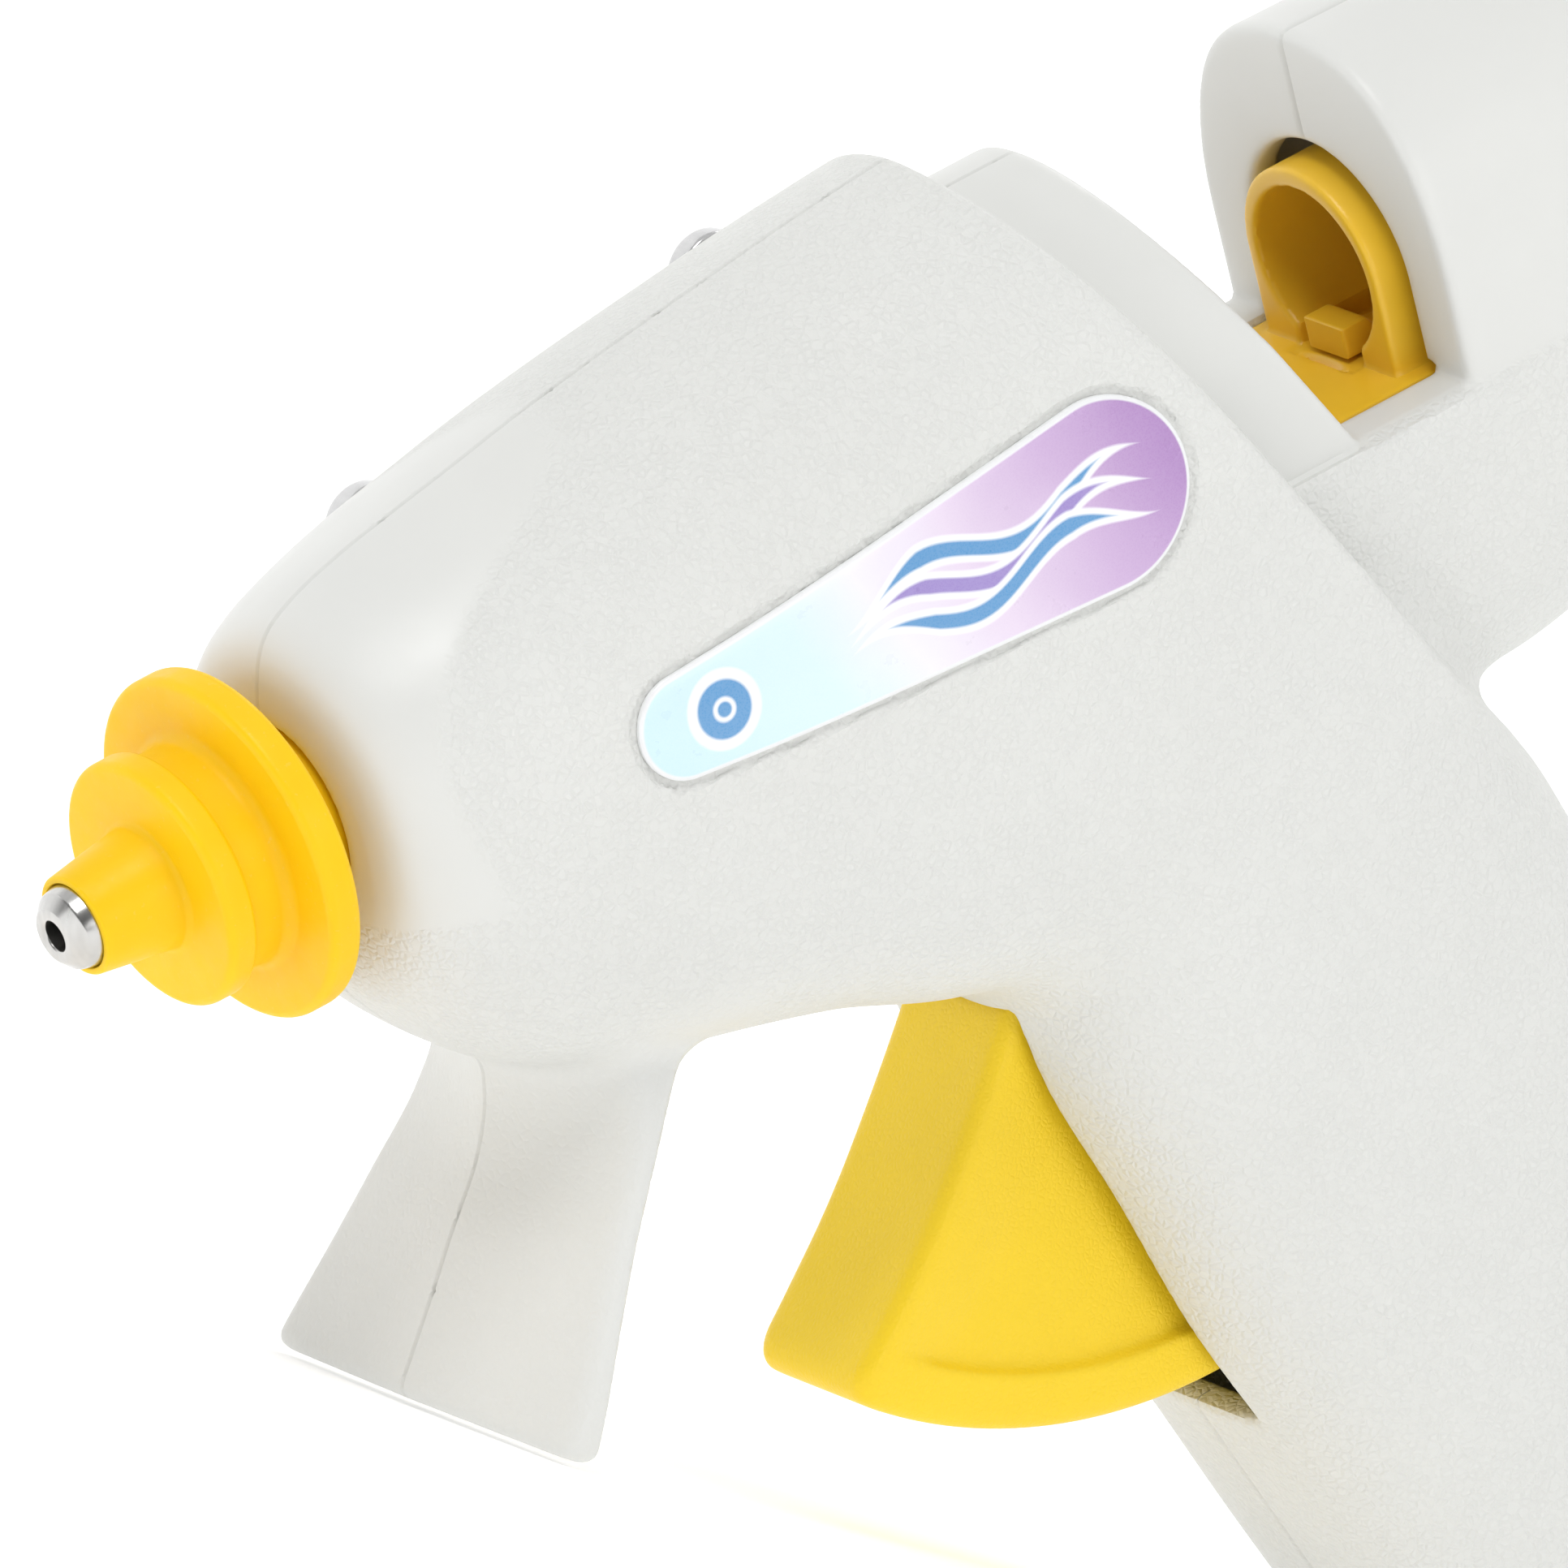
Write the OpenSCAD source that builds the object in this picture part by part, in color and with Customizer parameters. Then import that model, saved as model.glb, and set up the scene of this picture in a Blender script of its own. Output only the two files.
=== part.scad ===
// Hot-melt glue gun standing nose-down on its front foot and the heel of its handle.
// The gun is laid out along its own barrel axis (nozzle towards -X, far side +Y) and
// then pitched into the standing pose, so the sole of the foot lies at Z = 0.

/* [Standing pose] */
// Nose-down pitch of the barrel, degrees
pitch = 38; // [37:0.5:39]

/* [Glue path] */
// Bore that a glue stick slides through, radius
stick_bore_r = 5.9; // [5.7:0.1:6]
// Radius of the hole in the nozzle tip
orifice_r = 1.0; // [0.6:0.1:1.2]
// Radius of the large flange on the silicone nozzle cover
flange_r = 11.45; // [10.5:0.05:12]

/* [Shell] */
// Wall thickness of the moulded halves
wall = 2.2; // [1.8:0.1:2.6]
// Half of the handle's width at its waist
grip_half_w = 15.2; // [14:0.2:16]

/* [Trigger] */
// Radius of the trigger's lower arc about its pivot
trigger_r = 38.6; // [36:0.1:39]
// Width of the trigger
trigger_w = 11.2; // [10:0.2:12.2]

/* [View] */
// Sub-part to draw, or all of them

/* [Hidden] */
$fn = 48;
ring_points = 32;
thin = 0.02;
parting_gap = 0.1;
body_crown = 1.65;
rear_crown = 2.5;
crown_rise = 3;
clear = 0.3;

// Sole centre and trigger pivot in the barrel frame, as [x, z]
sole = [1.9, -40.42];
pivot = [56, -24.4];
pin_r = 2;
link_r = 1.5;
arm_len = 13.5;
arm_lean = 15;
slot_half_w = trigger_w / 2 + 0.4;
sweep_r = trigger_r + 3.8;
rear_angle = 276;
travel = 30;
link = [pivot[0] + arm_len * sin(arm_lean), pivot[1] + arm_len * cos(arm_lean)];

// Rear rim of the main shell, collar rim and saddle, all in the barrel frame
lean = 0.507;
shell_end_x = 56.8;
shell_end_z = 20;
rim_x = 65.8;
rim_z = 16.5;
saddle_z = -5.8;
saddle_foot_x = rim_x + lean * (rim_z - saddle_z);
hump_x = 86;
hump_opening_r = 7.7;

// Feeder carriage on its runners, and the grip lever inside it
deck_top = -6.1;
deck_h = 2.4;
deck_half_w = 8.2;
deck_front = 56.6;
deck_rear = 104;
feeder_x = 84.4;
feeder_len = 17;
feeder_r = 6.7;
lever_half_w = 2;
lever_x = 84.2;
grip_pivot = [93, -7.9];
grip_pin_r = 1;
spring_z = -11.4;
ear_x = 102.4;
tail_post_x = 115.4;

// Body stations: x, height of the widest line, rise above it, drop below it, half width, roundness
body_stations = [
  [2.2, -0.5, 7.5, 7.8, 7.6, 2.2],
  [3.0, -0.7, 9.9, 10.1, 9.6, 2.3],
  [4.4, -1.0, 12.3, 12.2, 11.2, 2.4],
  [7, -2, 14.9, 14.6, 12.7, 2.6],
  [11, -3, 17.1, 17.2, 14, 2.8],
  [16, -3.5, 18.6, 18.6, 15.1, 3],
  [23, -4, 20.4, 19.8, 16.1, 3.2],
  [32, -4, 21.9, 22, 16.8, 3.3],
  [41, -4, 23.1, 25.4, 17, 3.4],
  [50, -4, 24.2, 27.5, 17, 3.4],
  [60, -4, 25, 27.5, 17, 3.4],
  [84, -4, 26, 25.5, 16.6, 3.4]
];
// Collar, hump and tail stations, in the same order
rear_stations = [
  [54, -6, 23, 22, 13.3, 2.1],
  [66, -6, 23, 21.6, 13.3, 2.1],
  [78, -6, 22, 21, 13.2, 2.4],
  [86, -6, 21.6, 21.6, 12.8, 3.4],
  [100, -6, 21.3, 18.6, 12.8, 3.4],
  [114, -6, 19, 14, 12.4, 3.2],
  [119, -5.5, 16.5, 11.5, 11.4, 2.8],
  [121.5, -5, 13.5, 9, 9.8, 2.4]
];
// Handle stations: z, front x, back x, half width
grip_stations = [
  [-20, 45.4, 80.2, 16.6],
  [-28, 45.6, 84.6, 16.6],
  [-33, 46.4, 87.2, 16.4],
  [-38, 47.2, 88.9, 16.1],
  [-48, 50.3, 92.3, 15.5],
  [-58, 53.2, 95.4, grip_half_w],
  [-69, 57.6, 98.6, grip_half_w],
  [-81, 62.2, 102.3, 15.4],
  [-92, 66.8, 105.6, 15.7],
  [-106, 73.2, 109.6, 15.9]
];
grip_round = 3.2;
// Lower end of the handle: toe and heel of the resting facet, then the back corner
heel_x = 80;
back = [102.5, -94.2];

// Closing screws as [x, z, y of the head's seat], all driven from the far side
screws = [
  [20.2, 9.1, 10],
  [48.6, 13.4, 10.2],
  [26, -18.2, 11.9],
  [77, -39, 12.8],
  [72, -80, 12.2],
  [96, -17.6, 8.4]
];
post_r = 3.1;
head_r = 2.9;
head_h = 2.3;
shank_r = 1.3;

// Melting chamber and the parts on it
neck_r = 6.1;
chamber_front = 5;
chamber_rear = 45;
chamber_r = 7.2;
chamber_air = 0.3;
chamber_neck_r = 4.6;
collar_x = 13;
collar_r = 9;
collar_w = 2;
sleeve_x = 42.2;
sleeve_end = 49.2;
sleeve_r = 8.3;
clamp_w = 2.6;
heater_x = 30.5;
heater_z = -9.6;
block_len = 23;

// Inlet ring for the glue stick, and the cord bush
ring_x = 116;
ring_end = 122;
ring_r = 8.2;
bush_r = 5;
bush_bore_r = 3.1;

// ---------- helpers ----------
module stand() {
  rotate([0, -pitch, 0])
    translate([-sole[0], 0, -sole[1]])
      children();
}

function table(x) = sole[1] - tan(pitch) * (x - sole[0]);

function power(v, e) = sign(v) * pow(abs(v), 2 / e);

// Closed outline that is crown-round across its upper half and e-round elsewhere
function ring(up, down, w, e, crown = 10) = [
  for (i = [0 : ring_points - 1])
    let (
      a = 360 * i / ring_points,
      top = sin(a) >= 0,
      across = top ? min(e, crown) : e,
      rise = top ? min(e, crown_rise) : e
    )
      [w * power(cos(a), across), (top ? up : down) * power(sin(a), rise)]
];

// Closed skin through rings that all have ring_points points, first ring to last
module skin(rings) {
  n = ring_points;
  last = len(rings) - 1;
  sides = [
    for (i = [0 : last - 1], k = [0 : n - 1], half = [0, 1])
      let (m = (k + 1) % n)
        half == 0
          ? [i * n + k, (i + 1) * n + k, (i + 1) * n + m]
          : [i * n + k, (i + 1) * n + m, i * n + m]
  ];
  polyhedron(
    [for (r = rings, p = r) p],
    concat(sides, [[for (k = [0 : n - 1]) k]], [[for (k = [n - 1 : -1 : 0]) last * n + k]])
  );
}

module loft_x(stations, inset, crown) {
  last = len(stations) - 1;
  skin([
    for (i = [0 : last])
      let (s = stations[i], shift = i == 0 ? inset : i == last ? -inset : 0)
        [for (p = ring(s[2] - inset, s[3] - inset, s[4] - inset, s[5], crown))
          [s[0] + shift, p[0], s[1] + p[1]]]
  ]);
}

module loft_z(stations, inset) {
  skin([
    for (s = stations)
      let (w = s[3] - inset, depth = (s[2] - s[1]) / 2 - inset)
        [for (p = ring(w, w, depth, grip_round))
          [(s[1] + s[2]) / 2 + p[0], -p[1], s[0]]]
  ]);
}

// Prism of an x-z outline, centred on the parting plane
module side_prism(points, width) {
  translate([0, width / 2, 0])
    rotate([90, 0, 0])
      linear_extrude(width)
        polygon(points);
}

// Rod across the gun at [x, z]
module cross_rod(at, r, y0, y1, sides = $fn) {
  translate([at[0], y0, at[1]])
    rotate([-90, 0, 0])
      cylinder(r = r, h = y1 - y0, $fn = sides);
}

// Rod along the barrel axis
module along_rod(x0, x1, r, z = 0) {
  translate([x0, 0, z])
    rotate([0, 90, 0])
      cylinder(r = r, h = x1 - x0);
}

// Turned part about the barrel axis; the outline is given as [radius, x]
module turned(points) {
  rotate([0, 90, 0])
    rotate_extrude($fn = 96)
      polygon(points);
}

function arc_points(r, a0, a1, steps) = [
  for (i = [0 : steps])
    let (a = a0 + (a1 - a0) * i / steps)
      [pivot[0] + r * cos(a), pivot[1] + r * sin(a)]
];

// ---------- outer volumes shared by the two halves ----------
module behind_rim(offset) {
  top = 40;
  low = -50;
  x_top = shell_end_x + offset - lean * (top - shell_end_z);
  x_low = shell_end_x + offset - lean * (low - shell_end_z);
  side_prism([[x_top, top], [x_low, low], [160, low], [160, top]], 60);
}

module saddle_cut(grow) {
  top = 40;
  x_top = rim_x - lean * (top - rim_z) - grow;
  side_prism([
    [x_top, top],
    [saddle_foot_x - grow, saddle_z],
    [saddle_foot_x - grow, saddle_z - grow],
    [hump_x + grow, saddle_z - grow],
    [hump_x + grow, top]
  ], 60);
}

// Everything under the table plane and beyond the handle's end face, raised by grow
module below_rest(grow) {
  up = grow / cos(pitch);
  side_prism([
    [-60, table(-60) + up],
    [heel_x, table(heel_x) + up],
    [back[0] + 30, back[1] + 30 * (back[1] - table(heel_x)) / (back[0] - heel_x) + grow],
    [150, -200],
    [-60, -200]
  ], 80);
}

module foot_slice(x_ridge, x_front, x_back, z, half_w) {
  translate([0, 0, z])
    linear_extrude(thin)
      polygon([
        [x_ridge, 0], [x_front, half_w], [x_back, half_w],
        [x_back, -half_w], [x_front, -half_w]
      ]);
}

module foot() {
  hull() {
    foot_slice(12, 16.2, 21, -18, 10.4);
    foot_slice(11.3, 14.8, 18.6, -27, 11.4);
  }
  hull() {
    foot_slice(11.3, 14.8, 18.6, -27, 11.4);
    foot_slice(6.9, 9.6, 13.2, -32.3, 13.2);
  }
  hull() {
    foot_slice(6.9, 9.6, 13.2, -32.3, 13.2);
    foot_slice(-2.5, -0.1, 3.4, -43, 15.5);
  }
}

module outer() {
  difference() {
    union() {
      difference() {
        loft_x(body_stations, 0, body_crown);
        behind_rim(0);
      }
      difference() {
        loft_x(rear_stations, 0, rear_crown);
        saddle_cut(0);
      }
      loft_z(grip_stations, 0);
      foot();
    }
    below_rest(0);
  }
}

module cavity() {
  difference() {
    union() {
      difference() {
        loft_x(body_stations, wall, body_crown);
        behind_rim(-0.6);
      }
      difference() {
        loft_x(rear_stations, wall, rear_crown);
        saddle_cut(wall);
      }
      loft_z(grip_stations, wall);
    }
    below_rest(wall);
  }
}

// Plate across the inside at one x
module frame_plate(x, thick, low, high) {
  translate([x, -30, low])
    cube([thick, 60, high - low]);
}

// Front face of the trigger, top to bottom, moved along x
function trigger_front(shift) = [
  [51.8 + shift, -27], [46.5 + shift, -34], [41.9 + shift, -39.6],
  [37.1 + shift, -44.9], [33.1 + shift, -48.6], [30.7 + shift, -50.7]
];

module sweep_space() {
  end = rear_angle + travel + 3;
  side_prism(concat(
    [[pivot[0] + 2, pivot[1] + 4], [pivot[0] - 4.5, pivot[1] + 2]],
    trigger_front(-0.5), arc_points(sweep_r, 225, end, 20)
  ), 2 * slot_half_w);
  cross_rod(pivot, 5.4, -slot_half_w, slot_half_w);
}

// Post for one screw, with draft from both side walls to the parting plane
module screw_post(s) {
  for (side = [-1, 1])
    hull() {
      cross_rod(s, post_r, side > 0 ? -0.5 : 0, side > 0 ? 0 : 0.5, 24);
      translate([0, side * 15, 0])
        cross_rod(s, post_r + 0.5, -2, 2, 24);
    }
}

// Everything that stays solid inside the cavity; it may run on into the walls
module ribs() {
  frame_plate(collar_x, collar_w, -14, 12);
  frame_plate(sleeve_x + clamp_w + 0.4, 2, -11, 11.5);
  frame_plate(57, 2, deck_top + 0.5, 12);
  for (s = screws)
    screw_post(s);
  // spring post in the tail
  cross_rod([tail_post_x, spring_z], 1.2, -20, 20);
  for (side = [-1, 1]) {
    // bosses of the trigger pin
    cross_rod(pivot, 4.2, side > 0 ? slot_half_w : -20, side > 0 ? 20 : -slot_half_w);
    // runners that carry the feeder's deck
    translate([70, side * 11.3 - 4.9, deck_top - deck_h - 2])
      cube([42, 9.8, 1.8]);
  }
}

module bores() {
  // nozzle neck in the nose, collar seat, sleeve seat
  along_rod(-5, collar_x - 0.5, neck_r + 0.3);
  along_rod(collar_x - 1, collar_x + collar_w + 1, collar_r + 0.05);
  along_rod(sleeve_x, sleeve_end + 1, sleeve_r + 0.1);
  // air round the hot chamber, taken out of the first screw's boss
  along_rod(collar_x + collar_w, sleeve_x, chamber_r + chamber_air);
  // the stick's way through the collar's rim, the hump and the inlet ring's seat
  along_rod(sleeve_end, 130, stick_bore_r + 0.5);
  along_rod(ring_x - 1, 130, ring_r + 0.05);
  // deck slot, room for the deck's lugs and ears, and the hump's opening
  translate([collar_x + 33, -deck_half_w - clear, deck_top - deck_h - 0.15])
    cube([deck_rear - collar_x - 31, 2 * (deck_half_w + clear), deck_h + 0.6]);
  translate([hump_x - 1, -hump_opening_r, saddle_z - 1])
    cube([24, 2 * hump_opening_r, 1.2 - saddle_z]);
  along_rod(hump_x - 1, hump_x + 23, hump_opening_r, 0.2);
  // trigger's sweep, its pin, the cord bush and the screws
  sweep_space();
  cross_rod(pivot, pin_r + 0.05, -13, 13);
  bush_place()
    translate([0, 0, -12])
      cylinder(r = bush_r + 0.05, h = 14);
  for (s = screws) {
    cross_rod(s, head_r + 0.3, s[2], 25);
    cross_rod(s, shank_r + 0.05, 3 - s[2], 20);
  }
}

// Middle of the handle's end face, +Z pointing out of it
module bush_place() {
  heel = [heel_x, table(heel_x)];
  translate([(heel[0] + back[0]) / 2, 0, (heel[1] + back[1]) / 2])
    rotate([0, 180 - atan2(back[1] - heel[1], back[0] - heel[0]), 0])
      children();
}

module label_prism(grow) {
  translate([0, -12, 0])
    rotate([90, 0, 0])
      linear_extrude(10)
        hull() {
          translate([22.9, 0.7]) circle(r = 3.4 + grow);
          translate([55.6, 1.6]) circle(r = 6.2 + grow);
        }
}

module shell() {
  difference() {
    outer();
    difference() {
      cavity();
      ribs();
    }
    bores();
  }
}

module half(side) {
  intersection() {
    shell();
    translate([-60, side < 0 ? -60 : parting_gap / 2, -150])
      cube([260, 60 - parting_gap / 2, 220]);
  }
}

function unit(v) = v / norm(v);

// Round wire along a path; each frame follows from the one before it
function normals(path, i, prev) =
  i >= len(path) ? [] :
  let (
    a = path[max(i - 1, 0)],
    b = path[min(i + 1, len(path) - 1)],
    t = unit(b - a),
    n = unit(prev - (prev * t) * t)
  )
  concat([[n, cross(t, n)]], normals(path, i + 1, n));

module tube(path, r, start, sides = 8) {
  frames = normals(path, 0, start);
  last = len(path) - 1;
  points = [
    for (i = [0 : last], k = [0 : sides - 1])
      let (a = 360 * k / sides)
        path[i] + r * cos(a) * frames[i][0] + r * sin(a) * frames[i][1]
  ];
  skin = [
    for (i = [0 : last - 1], k = [0 : sides - 1])
      let (m = (k + 1) % sides)
        [i * sides + k, (i + 1) * sides + k, (i + 1) * sides + m, i * sides + m]
  ];
  caps = [[for (k = [0 : sides - 1]) k], [for (k = [sides - 1 : -1 : 0]) last * sides + k]];
  polyhedron(points, concat(skin, caps));
}

// Smooth path through points, a quarter of the way cut off each corner, twice
function smoothed(p) = concat([p[0]], [
  for (i = [0 : len(p) - 2], f = [0.25, 0.75])
    p[i] * (1 - f) + p[i + 1] * f
], [p[len(p) - 1]]);

// ---------- sub-parts ----------
module housing_left() {
  color("WhiteSmoke")
    stand()
      difference() {
        half(-1);
        difference() {
          label_prism(0.15);
          loft_x(body_stations, 0.6, body_crown);
        }
      }
}

module housing_right() {
  color("WhiteSmoke")
    stand()
      half(1);
}

module nozzle_tip() {
  color("Silver")
    stand()
      turned([
        [orifice_r, -15.1], [1.75, -15.1], [2.55, -14.3], [2.8, -13.3], [2.8, -11], [3.4, -10],
        [3.4, 4.6], [3, 4.6], [3, chamber_front + 6], [1.8, chamber_front + 6],
        [1.8, -10], [orifice_r, -12]
      ]);
}

module nozzle_cover() {
  color("Gold")
    stand()
      turned([
        [2.85, -13.5], [3.1, -13.5], [3.3, -13.3], [4.1, -8.1], [4.5, -7.7], [7.7, -7.7],
        [8.2, -7.2], [8.2, -6.1], [7.7, -5.6], [7.4, -5.1], [7.4, -3], [8, -2.4],
        [flange_r - 0.6, -2.4], [flange_r, -1.8], [flange_r, -0.6], [flange_r - 0.6, 0],
        [neck_r, 0], [neck_r, 4.5], [3.45, 4.5], [3.45, -10], [2.9, -11.2]
      ]);
}

module melt_chamber() {
  color("LightGray")
    stand()
      difference() {
        union() {
          turned([
            [3.05, chamber_front], [chamber_neck_r, chamber_front], [chamber_neck_r, 15.2],
            [chamber_r, 20.4], [chamber_r, chamber_rear], [stick_bore_r, chamber_rear],
            [stick_bore_r, 24], [1.8, chamber_front + 6.5], [3.05, chamber_front + 6.5]
          ]);
          difference() {
            translate([heater_x - block_len / 2 + 1, -9, heater_z - 3.4])
              cube([block_len - 3.5, 18, 6.4]);
            along_rod(heater_x - block_len, heater_x + block_len, chamber_r - 0.4);
          }
        }
        translate([heater_x - block_len, -7.1, heater_z - 2])
          cube([2 * block_len, 14.2, 4]);
      }
}

module heater_element() {
  color("DimGray")
    stand()
      translate([heater_x - 9, -6, heater_z - 1.1])
        cube([18, 12, 2.2]);
}

module heater_electrodes() {
  color("Peru")
    stand()
      for (side = [-1, 1])
        translate([heater_x - 9.5, -6, heater_z + side * 1.35 - 0.2])
          cube([19.5, 12, 0.4]);
}

module heater_film() {
  color("Orange")
    stand()
      difference() {
        translate([heater_x - 10.4, -7, heater_z - 1.9])
          cube([20.2, 14, 3.8]);
        translate([heater_x - 11, -6.7, heater_z - 1.65])
          cube([22, 13.4, 3.3]);
      }
}

module chamber_collar() {
  color("SaddleBrown")
    stand()
      turned([
        [chamber_neck_r + 0.03, collar_x + 0.05], [collar_r, collar_x + 0.05],
        [collar_r, collar_x + collar_w - 0.05], [chamber_neck_r + 0.03, collar_x + collar_w - 0.05]
      ]);
}

module stick_sleeve() {
  color("OrangeRed")
    stand()
      turned([
        [chamber_r + 0.03, sleeve_x], [sleeve_r, sleeve_x], [sleeve_r, sleeve_end],
        [6.4, sleeve_end], [stick_bore_r, sleeve_end - 1], [stick_bore_r, chamber_rear + 0.05],
        [chamber_r + 0.03, chamber_rear + 0.05]
      ]);
}

module sleeve_clamp() {
  color("Silver")
    stand()
      difference() {
        union() {
          turned([
            [sleeve_r + 0.03, sleeve_x + 0.3], [sleeve_r + 0.8, sleeve_x + 0.3],
            [sleeve_r + 0.8, sleeve_x + clamp_w], [sleeve_r + 0.03, sleeve_x + clamp_w]
          ]);
          translate([sleeve_x + 0.3, -1.4, sleeve_r + 0.3])
            cube([clamp_w - 0.3, 2.8, 3.2]);
        }
        translate([sleeve_x, -0.4, sleeve_r - 1])
          cube([clamp_w + 1, 0.8, 6]);
      }
}

module trigger() {
  pocket_w = trigger_w - 3.6;
  arm_half_w = pocket_w / 2 - 0.2;
  color("Yellow")
    stand()
      difference() {
        union() {
          side_prism(concat(
            [[pivot[0] + 3.4, pivot[1] + 1.5], [pivot[0] - 3.4, pivot[1] + 1.5]],
            trigger_front(0), arc_points(trigger_r, 225.2, rear_angle, 16)
          ), trigger_w);
          cross_rod(pivot, 4.4, -trigger_w / 2, trigger_w / 2);
          // arm up to the feeder
          side_prism([
            [pivot[0] - 3.4, pivot[1]], [link[0] - link_r - 0.4, link[1] - 0.6],
            [link[0] + link_r + 0.4, link[1] - 0.6], [pivot[0] + 4.2, pivot[1]]
          ], 2 * arm_half_w);
          cross_rod(link, link_r + 0.6, -arm_half_w, arm_half_w);
        }
        // hollow between the two cheeks, open towards the handle
        side_prism(concat(
          arc_points(9, 231, rear_angle + 20, 6),
          arc_points(trigger_r - 2.4, rear_angle + 20, 232, 12)
        ), pocket_w);
        cross_rod(pivot, pin_r + 0.05, -10, 10);
        cross_rod(link, link_r, -10, 10);
      }
}

module trigger_pin() {
  color("Silver")
    stand()
      cross_rod(pivot, pin_r, -12.8, 12.8);
}

module link_pin() {
  color("Silver")
    stand()
      cross_rod(link, link_r, -6.3, 6.3);
}

module feeder_carriage() {
  low = deck_top - deck_h;
  color("Goldenrod")
    stand()
      difference() {
        union() {
          translate([deck_front, -deck_half_w, low])
            cube([deck_rear - deck_front, 2 * deck_half_w, deck_h]);
          along_rod(feeder_x, feeder_x + feeder_len, feeder_r);
          translate([feeder_x, -feeder_r, deck_top - 0.5])
            cube([feeder_len, 2 * feeder_r, 0.5 - deck_top]);
          for (side = [-1, 1]) {
            // lugs that the link pin works in
            translate([link[0] - 3, side * 5 - 1.2, link[1] - 3])
              cube([6, 2.4, low - link[1] + 3.5]);
            // ears for the return spring
            translate([ear_x - 1.6, side * 3.6 - 0.8, spring_z - 1.8])
              cube([3.2, 1.6, low - spring_z + 2.3]);
          }
          cross_rod([ear_x, spring_z], 0.9, -4, 4);
          // pad round the grip lever's pin
          translate([grip_pivot[0] - 2.4, -6, grip_pivot[1] - 2.1])
            cube([4.8, 12, 2.4]);
        }
        // keyhole that takes the stick
        along_rod(feeder_x - 1, feeder_x + feeder_len + 1, stick_bore_r - 0.25, -0.2);
        translate([feeder_x - 1, -lever_half_w - 0.9, deck_top - 0.1])
          cube([feeder_len + 2, 2 * lever_half_w + 1.8, 6]);
        // slots for the link pin, and for the grip lever and its pin
        translate([link[0] - link_r - 0.15, -8, link[1] - link_r - 0.4])
          cube([2 * link_r + 0.3, 16, 2 * link_r + 1]);
        translate([lever_x + 2.4, -lever_half_w - 0.3, low - 3])
          cube([9.2, 2 * lever_half_w + 0.6, deck_h + 4]);
        cross_rod(grip_pivot, grip_pin_r, -6, 6);
      }
}

module grip_lever() {
  color("Gold")
    stand()
      difference() {
        union() {
          side_prism([
            [lever_x, -5.9], [lever_x, -3.8], [lever_x + 2, -3.8], [lever_x + 3.4, -5.6],
            [grip_pivot[0], deck_top], [grip_pivot[0], deck_top - 2.2],
            [lever_x + 4, deck_top - 2.2], [lever_x + 3, -5.9]
          ], 2 * lever_half_w);
          cross_rod(grip_pivot, 1.9, -lever_half_w, lever_half_w);
        }
        cross_rod(grip_pivot, grip_pin_r + 0.04, -5, 5);
      }
}

module grip_pin() {
  color("Silver")
    stand()
      cross_rod(grip_pivot, grip_pin_r, -5.9, 5.9);
}

module return_spring() {
  coil_r = 2.1;
  x0 = ear_x + 3;
  x1 = tail_post_x - 3.2;
  turns = 9;
  steps = turns * 12;
  loop_r = 1.75;
  path = concat(
    [for (a = [-150 : 25 : 150]) [ear_x - loop_r * cos(a), 0, spring_z - loop_r * sin(a)]],
    [for (i = [0 : steps])
      let (a = 90 + 360 * turns * i / steps)
        [x0 + (x1 - x0) * i / steps, coil_r * cos(a), spring_z + coil_r * sin(a)]],
    [for (a = [150 : -25 : -150]) [tail_post_x + loop_r * cos(a), 0, spring_z + loop_r * sin(a)]]
  );
  color("Silver")
    stand()
      tube(path, 0.35, [0, 1, 0], 6);
}

module stick_inlet_ring() {
  color("DimGray")
    stand()
      turned([
        [stick_bore_r, ring_x], [ring_r, ring_x], [ring_r, ring_end - 0.45],
        [ring_r + 1, ring_end - 0.45], [ring_r + 1, ring_end + 0.4], [ring_r + 0.6, ring_end + 0.8],
        [stick_bore_r + 0.8, ring_end + 0.8], [stick_bore_r, ring_end]
      ]);
}

module cord_grommet() {
  color("DimGray")
    stand()
      bush_place()
        rotate_extrude($fn = 64)
          polygon([
            [bush_bore_r, -6], [bush_r + 0.9, -6], [bush_r + 0.9, -4], [bush_r, -4],
            [bush_r, 0.05], [bush_r + 1.3, 0.05], [bush_r + 1.3, 1.1], [bush_r + 0.6, 1.8],
            [bush_bore_r + 0.5, 1.8], [bush_bore_r, 1.3]
          ]);
}

module terminal_block() {
  color("Ivory")
    stand()
      translate([87, 0, -85.5])
        rotate([0, 18, 0])
          difference() {
            translate([-5, -7, -4])
              cube([10, 14, 8]);
            for (side = [-1, 1]) {
              translate([0, side * 3.4, -5])
                cylinder(r = 1.5, h = 10);
              translate([-6, side * 3.4, 0])
                rotate([0, 90, 0])
                  cylinder(r = 1.1, h = 4);
            }
          }
}

module heater_leads() {
  color("White")
    stand()
      for (side = [-1, 1])
        tube(smoothed(smoothed([
          [heater_x + 11.1, side * 3, heater_z + side * 1.35], [42, side * 4, -13.4],
          [45, side * 7.5, -15.8], [50, side * 9.6, -17.3], [66, side * 9.8, -18],
          [75, side * 9, -25], [82.3, side * 8, -39], [86.8, side * 7.5, -54],
          [89.6, side * 7, -66], [90.4, side * 4, -75], [88.4, side * 3.4, -80.6]
        ])), 0.9, [0, 1, 0], 8);
}

module label() {
  color("LightBlue")
    stand()
      intersection() {
        label_prism(0);
        difference() {
          loft_x(body_stations, 0.12, body_crown);
          loft_x(body_stations, 0.55, body_crown);
        }
      }
}

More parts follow.
